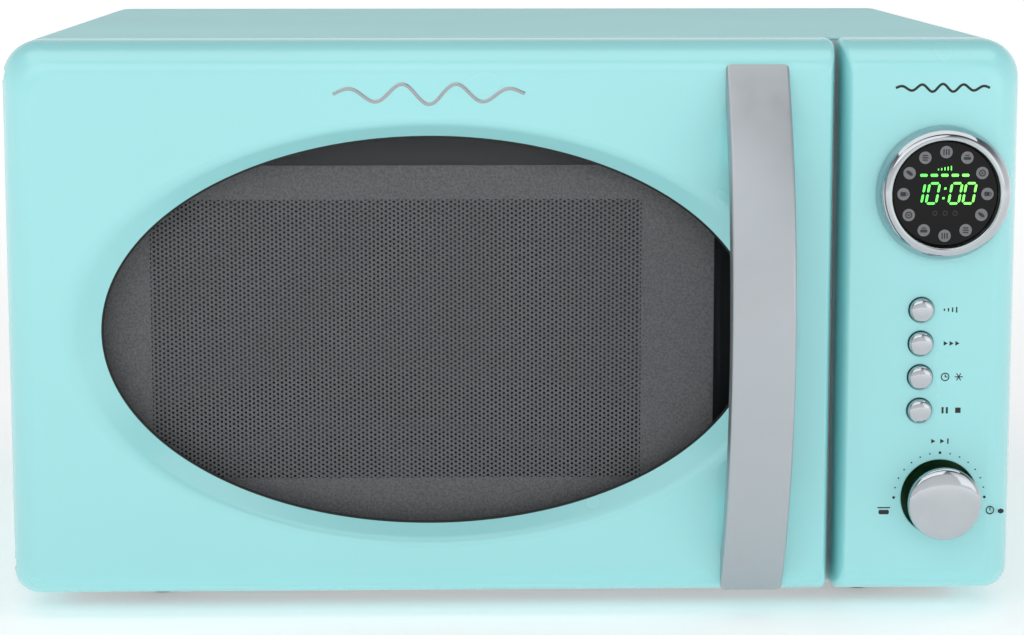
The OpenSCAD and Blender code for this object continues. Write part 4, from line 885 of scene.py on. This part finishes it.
class OVEN_OT_display(bpy.types.Operator):
    """Round display: chrome ring, black lens, lit digits and bars, and twelve printed discs."""
    bl_idname = "oven.display"
    bl_label = "Display"

    def execute(self, context):
        size = context.scene.oven_controls
        centre = middle(RING)
        spot = Vector((centre.x, FACE_Y, centre.z))
        outer = (RING[1].x - RING[0].x) / 2 / MM
        inner = (LENS[1].x - LENS[0].x) / 2 / MM
        proud = (FACE_Y - RING[0].y) / MM
        lens_proud = (FACE_Y - LENS[0].y) / MM
        section = [(outer - 3, -2), (outer - 3, -0.02), (outer - 0.2, 0.0), (outer, 0.4), (outer, 1.6),
                   (outer - 0.12, 2.6), (outer - 0.5, 4.2), (outer - 1.15, 5.8), (outer - 2.0, 7.2),
                   (outer - 3.0, 8.2), (outer - 4.0, 8.8), (outer - 4.9, proud), (inner + 1.1, proud - 0.1),
                   (inner + 0.75, proud - 0.35), (inner + 0.6, proud - 0.9), (inner + 0.35, lens_proud + 0.4),
                   (inner + 0.02, lens_proud + 0.1), (inner + 0.02, -2)]
        ring = turned("display_ring", spot, "Y", section, 128, ring=True)
        finish_piece(ring, "root", "chrome_plate", stands_for=("display_bezel",), angle=50)
        lens = turned("display_glass", spot, "Y", [(inner - 0.05, 3), (inner - 0.05, lens_proud - 0.5),
                                                   (inner - 0.5, lens_proud), (inner * 0.5, lens_proud)], 96)
        finish_piece(lens, "root", "black_lens", stands_for=("display_lens",))
        face = LENS[0].y
        x, z = centre.x, centre.z
        lit = []
        for k in range(5):
            lit.append(mark("dash", x + (k * 4.56 - 9.6) * MM, z + 8.2 * MM, face, 3.2, 1.25, rounding=0.55))
            lit.append(mark("level", x + (k * 1.4 - 3.3) * MM, z + (10.7 + 0.15 * k) * MM, face, 0.45,
                            0.7 + 0.3 * k))
        wide, tall, thick, short, base = 4.4, 8.8, 1.0, 0.7, 0.3
        digits = []
        for offset, number in ((-11.9, "1"), (-5.5, "0"), (4.3, "0"), (10.5, "0")):
            for dx, dz, upright in self.bars(number, wide, tall):
                reach = tall / 2 - short if upright else wide - short
                digits.append(mark("bar", x + (offset + dx) * MM, z + (base + dz) * MM, face, reach, thick,
                                   rounding=thick * 0.49, turn=90 if upright else 0, segments=1))
        for dz in (2.1, -2.1):
            digits.append(mark("colon", x - 0.5 * MM, z + (base + dz) * MM, face, 1.3, 1.3, sides=4, turn=45))
        figures = join("display_digits", digits)
        lean = math.tan(size.lean)
        for vertex in figures.data.vertices:
            vertex.co.x += lean * (vertex.co.z - z - base * MM)
        finish_piece(figures, "root", "lit_green")
        finish_piece(join("display_bars", lit), "root", "lit_green")
        discs, glyphs = [], []
        dial_ring, disc_wide = 18.3, 5.4
        for k in range(12):
            angle = math.radians(30 * k)
            disc_x, disc_z = x + math.sin(angle) * dial_ring * MM, z + math.cos(angle) * dial_ring * MM
            discs.append(mark("disc", disc_x, disc_z, face, disc_wide, disc_wide, sides=28))
            glyphs += self.glyph(k, disc_x, disc_z, face - 0.12 * MM)
        finish_piece(join("display_discs", discs), "root", "grey_ink")
        finish_piece(join("display_glyphs", glyphs), "root", "dark_ink")
        for k in (1, 2, 3):
            idle = hoop("display_idle_mark_%d" % k, x + (k - 2) * 4.4 * MM, z - 8.4 * MM, face, 1.1, 0.35, thick=0.05)
            finish_piece(idle, "root", "dark_ink")
        return {"FINISHED"}

    def bars(self, number, wide, tall):
        """The (x, z, upright) places of a figure's lit bars."""
        side, half, level = wide / 2, tall / 4, tall / 2
        right = [(side, half, True), (side, -half, True)]
        if number == "1":
            return right
        return right + [(-side, half, True), (-side, -half, True), (0, level, False), (0, -level, False)]

    def glyph(self, k, x, z, face):
        """A plain symbol: three bars, a covered dish, a ring, a cup, a leaf or three lines."""
        kind = k % 6
        if kind == 0:
            return [mark("glyph", x + dx * MM, z, face, 0.5, 2.6, rounding=0.2) for dx in (-1.1, 0, 1.1)]
        if kind == 1:
            return [mark("glyph", x, z - 0.3 * MM, face, 3.2, 1.3, rounding=0.6),
                    mark("glyph", x, z + 1.0 * MM, face, 2.0, 0.45, rounding=0.2)]
        if kind == 2:
            return [hoop("glyph", x, z, face, 1.5, 0.5), mark("glyph", x, z, face, 0.9, 0.9, sides=12)]
        if kind == 3:
            return [mark("glyph", x - 0.3 * MM, z, face, 2.2, 1.9, rounding=0.5),
                    hoop("glyph", x + 1.1 * MM, z, face, 0.75, 0.3)]
        if kind == 4:
            return [mark("glyph", x, z, face, 3.4, 1.5, sides=20, turn=35)]
        return [mark("glyph", x, z + dz * MM, face, 2.8 - 0.5 * abs(dz), 0.5, rounding=0.2) for dz in (-1, 0, 1)]


class OVEN_OT_controls(bpy.types.Operator):
    """Push buttons and the dial, with the printed marks beside them."""
    bl_idname = "oven.controls"
    bl_label = "Buttons and dial"

    def execute(self, context):
        for number, name in enumerate(BUTTONS, 1):
            low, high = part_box(name)
            centre = middle((low, high))
            proud = (FACE_Y - low.y) / MM
            radius = context.scene.oven_controls.button_radius / MM
            cap = turned("button_cap_%d" % number, Vector((centre.x, FACE_Y, centre.z)), "Y", [
                (radius, -3), (radius, proud - 2.1), (radius - 0.08, proud - 1.55), (radius - 0.35, proud - 1.0),
                (radius - 0.9, proud - 0.6), (radius - 1.8, proud - 0.28), (radius - 3.0, proud - 0.08),
                (radius - 4.3, proud), (0.05, proud)], 64)
            finish_piece(cap, name, "chrome_plate", stands_for=(name,), angle=60)
        centre = middle(DIAL)
        spot = Vector((centre.x, FACE_Y, centre.z))
        radius = (DIAL[1].x - DIAL[0].x) / 2 / MM
        proud = (FACE_Y - DIAL[0].y) / MM
        dial = turned("dial_cap", spot, "Y", [
            (radius - 1.4, -3), (radius - 1.0, 0.5), (radius - 0.25, proud - 5), (radius, proud - 3.4),
            (radius - 0.1, proud - 2.7), (radius - 0.5, proud - 2.05), (radius - 1.3, proud - 1.5),
            (radius - 2.8, proud - 1.05), (radius - 5.2, proud - 0.62), (radius - 8.2, proud - 0.28),
            (radius - 11.6, proud - 0.08), (radius - 14.8, proud), (0.05, proud)], 128)
        finish_piece(dial, "dial", "chrome_plate", stands_for=("knob",), angle=60)
        dots = []
        for k in range(15):
            angle = math.pi * k / 14
            big = k % 7 == 0
            dots.append(mark("dot", spot.x - math.cos(angle) * 20.2 * MM, spot.z + math.sin(angle) * 20.2 * MM,
                             FACE_Y, 1.25 if big else 0.7, 1.25 if big else 0.7, sides=12, thick=0.08))
        finish_piece(join("dial_dots", dots), "root", "black_ink")
        self.labels(spot)
        return {"FINISHED"}

    def labels(self, dial):
        """Plain symbols in place of words: rising bars, arrows, a clock, a star, a pause, a stop and a dish."""
        marks = []

        def ink(about, dx, dz, wide, tall, **more):
            marks.append(mark("mark", about.x + dx * MM, about.z + dz * MM, FACE_Y, wide, tall, thick=0.08, **more))

        def clock(about, dx):
            marks.append(hoop("mark", about.x + dx * MM, about.z, FACE_Y, 1.9, 0.45, thick=0.08))
            ink(about, dx, 0.5, 0.4, 1.3)

        beside = [middle(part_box(name)) + Vector((9.2 * MM, 0, 0)) for name in BUTTONS]
        for k in range(4):
            ink(beside[0], 1.0 + 1.8 * k, 0, 0.6, 1.0 + 0.5 * k)
        for k in range(3):
            ink(beside[1], 1.6 + 2.6 * k, 0, 2.4, 2.4, sides=3, turn=90)
        clock(beside[2], 2.0)
        ink(beside[2], 2.5, 0, 1.2, 0.4)
        for turn in (0, 60, 120):
            ink(beside[2], 8.0, 0, 3.6, 0.4, turn=turn)
        for k in range(2):
            ink(beside[3], 1.2 + 1.9 * k, 0, 0.9, 2.8)
        ink(beside[3], 8.0, 0, 2.4, 2.4)
        above = dial + Vector((0, 0, 25.4 * MM))
        ink(above, -3.4, 0, 2.4, 2.4, sides=3, turn=90)
        ink(above, 3.4, 0, 0.6, 2.4)
        ink(above, 0.6, 0, 2.4, 2.4, sides=3, turn=90)
        left, right = (dial + Vector((side * 24.5 * MM, 0, -6.0 * MM)) for side in (-1, 1))
        ink(left, 0, -0.6, 4.6, 2.0, rounding=0.7)
        ink(left, 0, 1.4, 5.6, 0.5)
        clock(right, -1.6)
        ink(right, 3.2, -0.4, 3.0, 2.4, sides=6)
        finish_piece(join("panel_marks", marks), "root", "black_ink")


class OVEN_OT_ornaments(bpy.types.Operator):
    """Plain flourishes on the door and the panel, where a maker would put a badge."""
    bl_idname = "oven.ornaments"
    bl_label = "Ornaments"

    def execute(self, context):
        for name, x, z, wide, tall, waves, line, body, finish, slot in (
                ("door_flourish", WINDOW.x, DOOR[1].z - 22.6 * MM, 83, 9, 3.5, 1.5, "door", "silver_ink",
                 "chrome_plate"),
                ("panel_flourish", middle(RING).x - 1.0 * MM, PANEL[1].z - 20.4 * MM, 41, 3.4, 4.5, 1.1, "root",
                 "black_ink", "black_plastic")):
            points = []
            count = int(waves * 40)
            for k in range(count + 1):
                t = k / count
                swell = 0.35 + 0.65 * math.sin(math.pi * t)
                points.append((x + (t - 0.5) * wide * MM, FACE_Y - 0.05 * MM,
                               z + 0.5 * tall * MM * swell * math.sin(2 * math.pi * waves * t)))
            finish_piece(stroke(name, points, line), body, finish)
        return {"FINISHED"}


class OVEN_OT_tray(bpy.types.Operator):
    """Glass turntable tray: a pressed dish with a rounded upturned rim."""
    bl_idname = "oven.tray"
    bl_label = "Glass tray"

    def execute(self, context):
        low, high = TRAY
        centre = middle(TRAY)
        radius = (high.x - low.x) / 2 / MM
        tall = context.scene.oven_controls.tray_tall / MM
        tray = turned("tray_dish", Vector((centre.x, centre.y, high.z - tall * MM)), "Z", [
            (radius - 22, 0), (radius - 12, 0.6), (radius - 5, 3.5), (radius - 1.2, tall - 3), (radius, tall - 1.4),
            (radius - 0.4, tall - 0.4), (radius - 1.6, tall), (radius - 3.2, tall - 0.4), (radius - 4.2, tall - 1.8),
            (radius - 8, 6.5), (radius - 14, 4.4), (radius - 22, 4.0), (radius - 60, 4.0)], 128)
        finish_piece(tray, "tray", "tray_glass", stands_for=("glass_tray",))
        return {"FINISHED"}


class OVEN_OT_stage(bpy.types.Operator):
    """Pale floor, soft lights and the camera."""
    bl_idname = "oven.stage"
    bl_label = "Studio"

    def execute(self, context):
        context.scene.view_settings.view_transform = "Standard"
        clear()
        bpy.ops.mesh.primitive_plane_add(size=40, location=(0, 0, -0.2 * MM))
        floor = settle("studio_floor")
        floor.data.materials.append(MATERIALS["floor"])
        world = bpy.data.worlds.new("studio_world")
        context.scene.world = world
        world.use_nodes = True
        tree = world.node_tree
        direction = add(tree, "ShaderNodeTexCoord").outputs["Generated"]
        height = add(tree, "ShaderNodeSeparateXYZ", {"Vector": direction}).outputs["Z"]
        backdrop = tree.nodes["Background"].inputs
        add(tree, RAMP, {"Fac": height}, backdrop["Color"],
            ((0.0, "#FFFFFF"), (0.25, "#F0F2F3"), (0.5, "#8F9497"), (0.85, "#3A3D40")))
        backdrop["Strength"].default_value = 0.94
        for name, place, aim, size_x, size_y, power in (
                ("key_softbox", (-0.7, -2.2, 1.9), (0, 0, 0.12), 3.0, 1.6, 19),
                ("top_softbox", (0.0, -0.2, 1.7), (0, 0.0, 0.2), 3.0, 1.2, 15),
                ("fill_softbox", (1.7, -2.0, 0.9), (0, 0, 0.12), 1.6, 1.6, 5)):
            bpy.ops.object.light_add(type="AREA", location=place)
            light = context.object
            light.name = name
            light.data.shape = "RECTANGLE"
            light.data.size = size_x
            light.data.size_y = size_y
            light.data.energy = power
            light.rotation_euler = (Vector(aim) - Vector(place)).to_track_quat("-Z", "Y").to_euler()
        bpy.ops.object.camera_add(location=(-0.0259, -1.2356, 0.3173),
                                  rotation=(math.radians(82.27), 0, math.radians(-1.33)))
        camera = context.object
        camera.name = "studio_camera"
        camera.data.lens = 88.76
        camera.data.sensor_width = 36
        camera.data.shift_y = -0.075
        camera.data.clip_end = 60
        camera.data.dof.use_dof = False
        context.scene.camera = camera
        return {"FINISHED"}


PIECES = (OVEN_OT_carried_nodes, OVEN_OT_door_moulding, OVEN_OT_window, OVEN_OT_screen, OVEN_OT_handle,
          OVEN_OT_panel_moulding, OVEN_OT_display, OVEN_OT_controls, OVEN_OT_ornaments, OVEN_OT_tray, OVEN_OT_stage)


class OVEN_PT_panel(bpy.types.Panel):
    """Lists the oven's pieces in the sidebar."""
    bl_idname = "OVEN_PT_panel"
    bl_label = "Retro Microwave Oven"
    bl_space_type = "VIEW_3D"
    bl_region_type = "UI"
    bl_category = "Oven"

    def draw(self, context):
        for piece in PIECES:
            self.layout.operator(piece.bl_idname)
        for name, group in SETTINGS.items():
            box = self.layout.box()
            for key in group.__annotations__:
                box.prop(getattr(context.scene, name), key)


def register():
    for group in (*SETTINGS.values(), *PIECES, OVEN_PT_panel):
        bpy.utils.register_class(group)
    for name, group in SETTINGS.items():
        setattr(bpy.types.Scene, name, bpy.props.PointerProperty(type=group))


def unregister():
    for name in SETTINGS:
        delattr(bpy.types.Scene, name)
    for group in (OVEN_PT_panel, *PIECES[::-1], *SETTINGS.values()):
        bpy.utils.unregister_class(group)


def main():
    """Builds the whole oven round its frame."""
    register()
    make_materials(bpy.context.scene.oven_finish)
    for piece in PIECES:
        group, name = piece.bl_idname.split(".")
        getattr(getattr(bpy.ops, group), name)()
    bpy.context.view_layer.update()


if __name__ == "__main__":
    main()
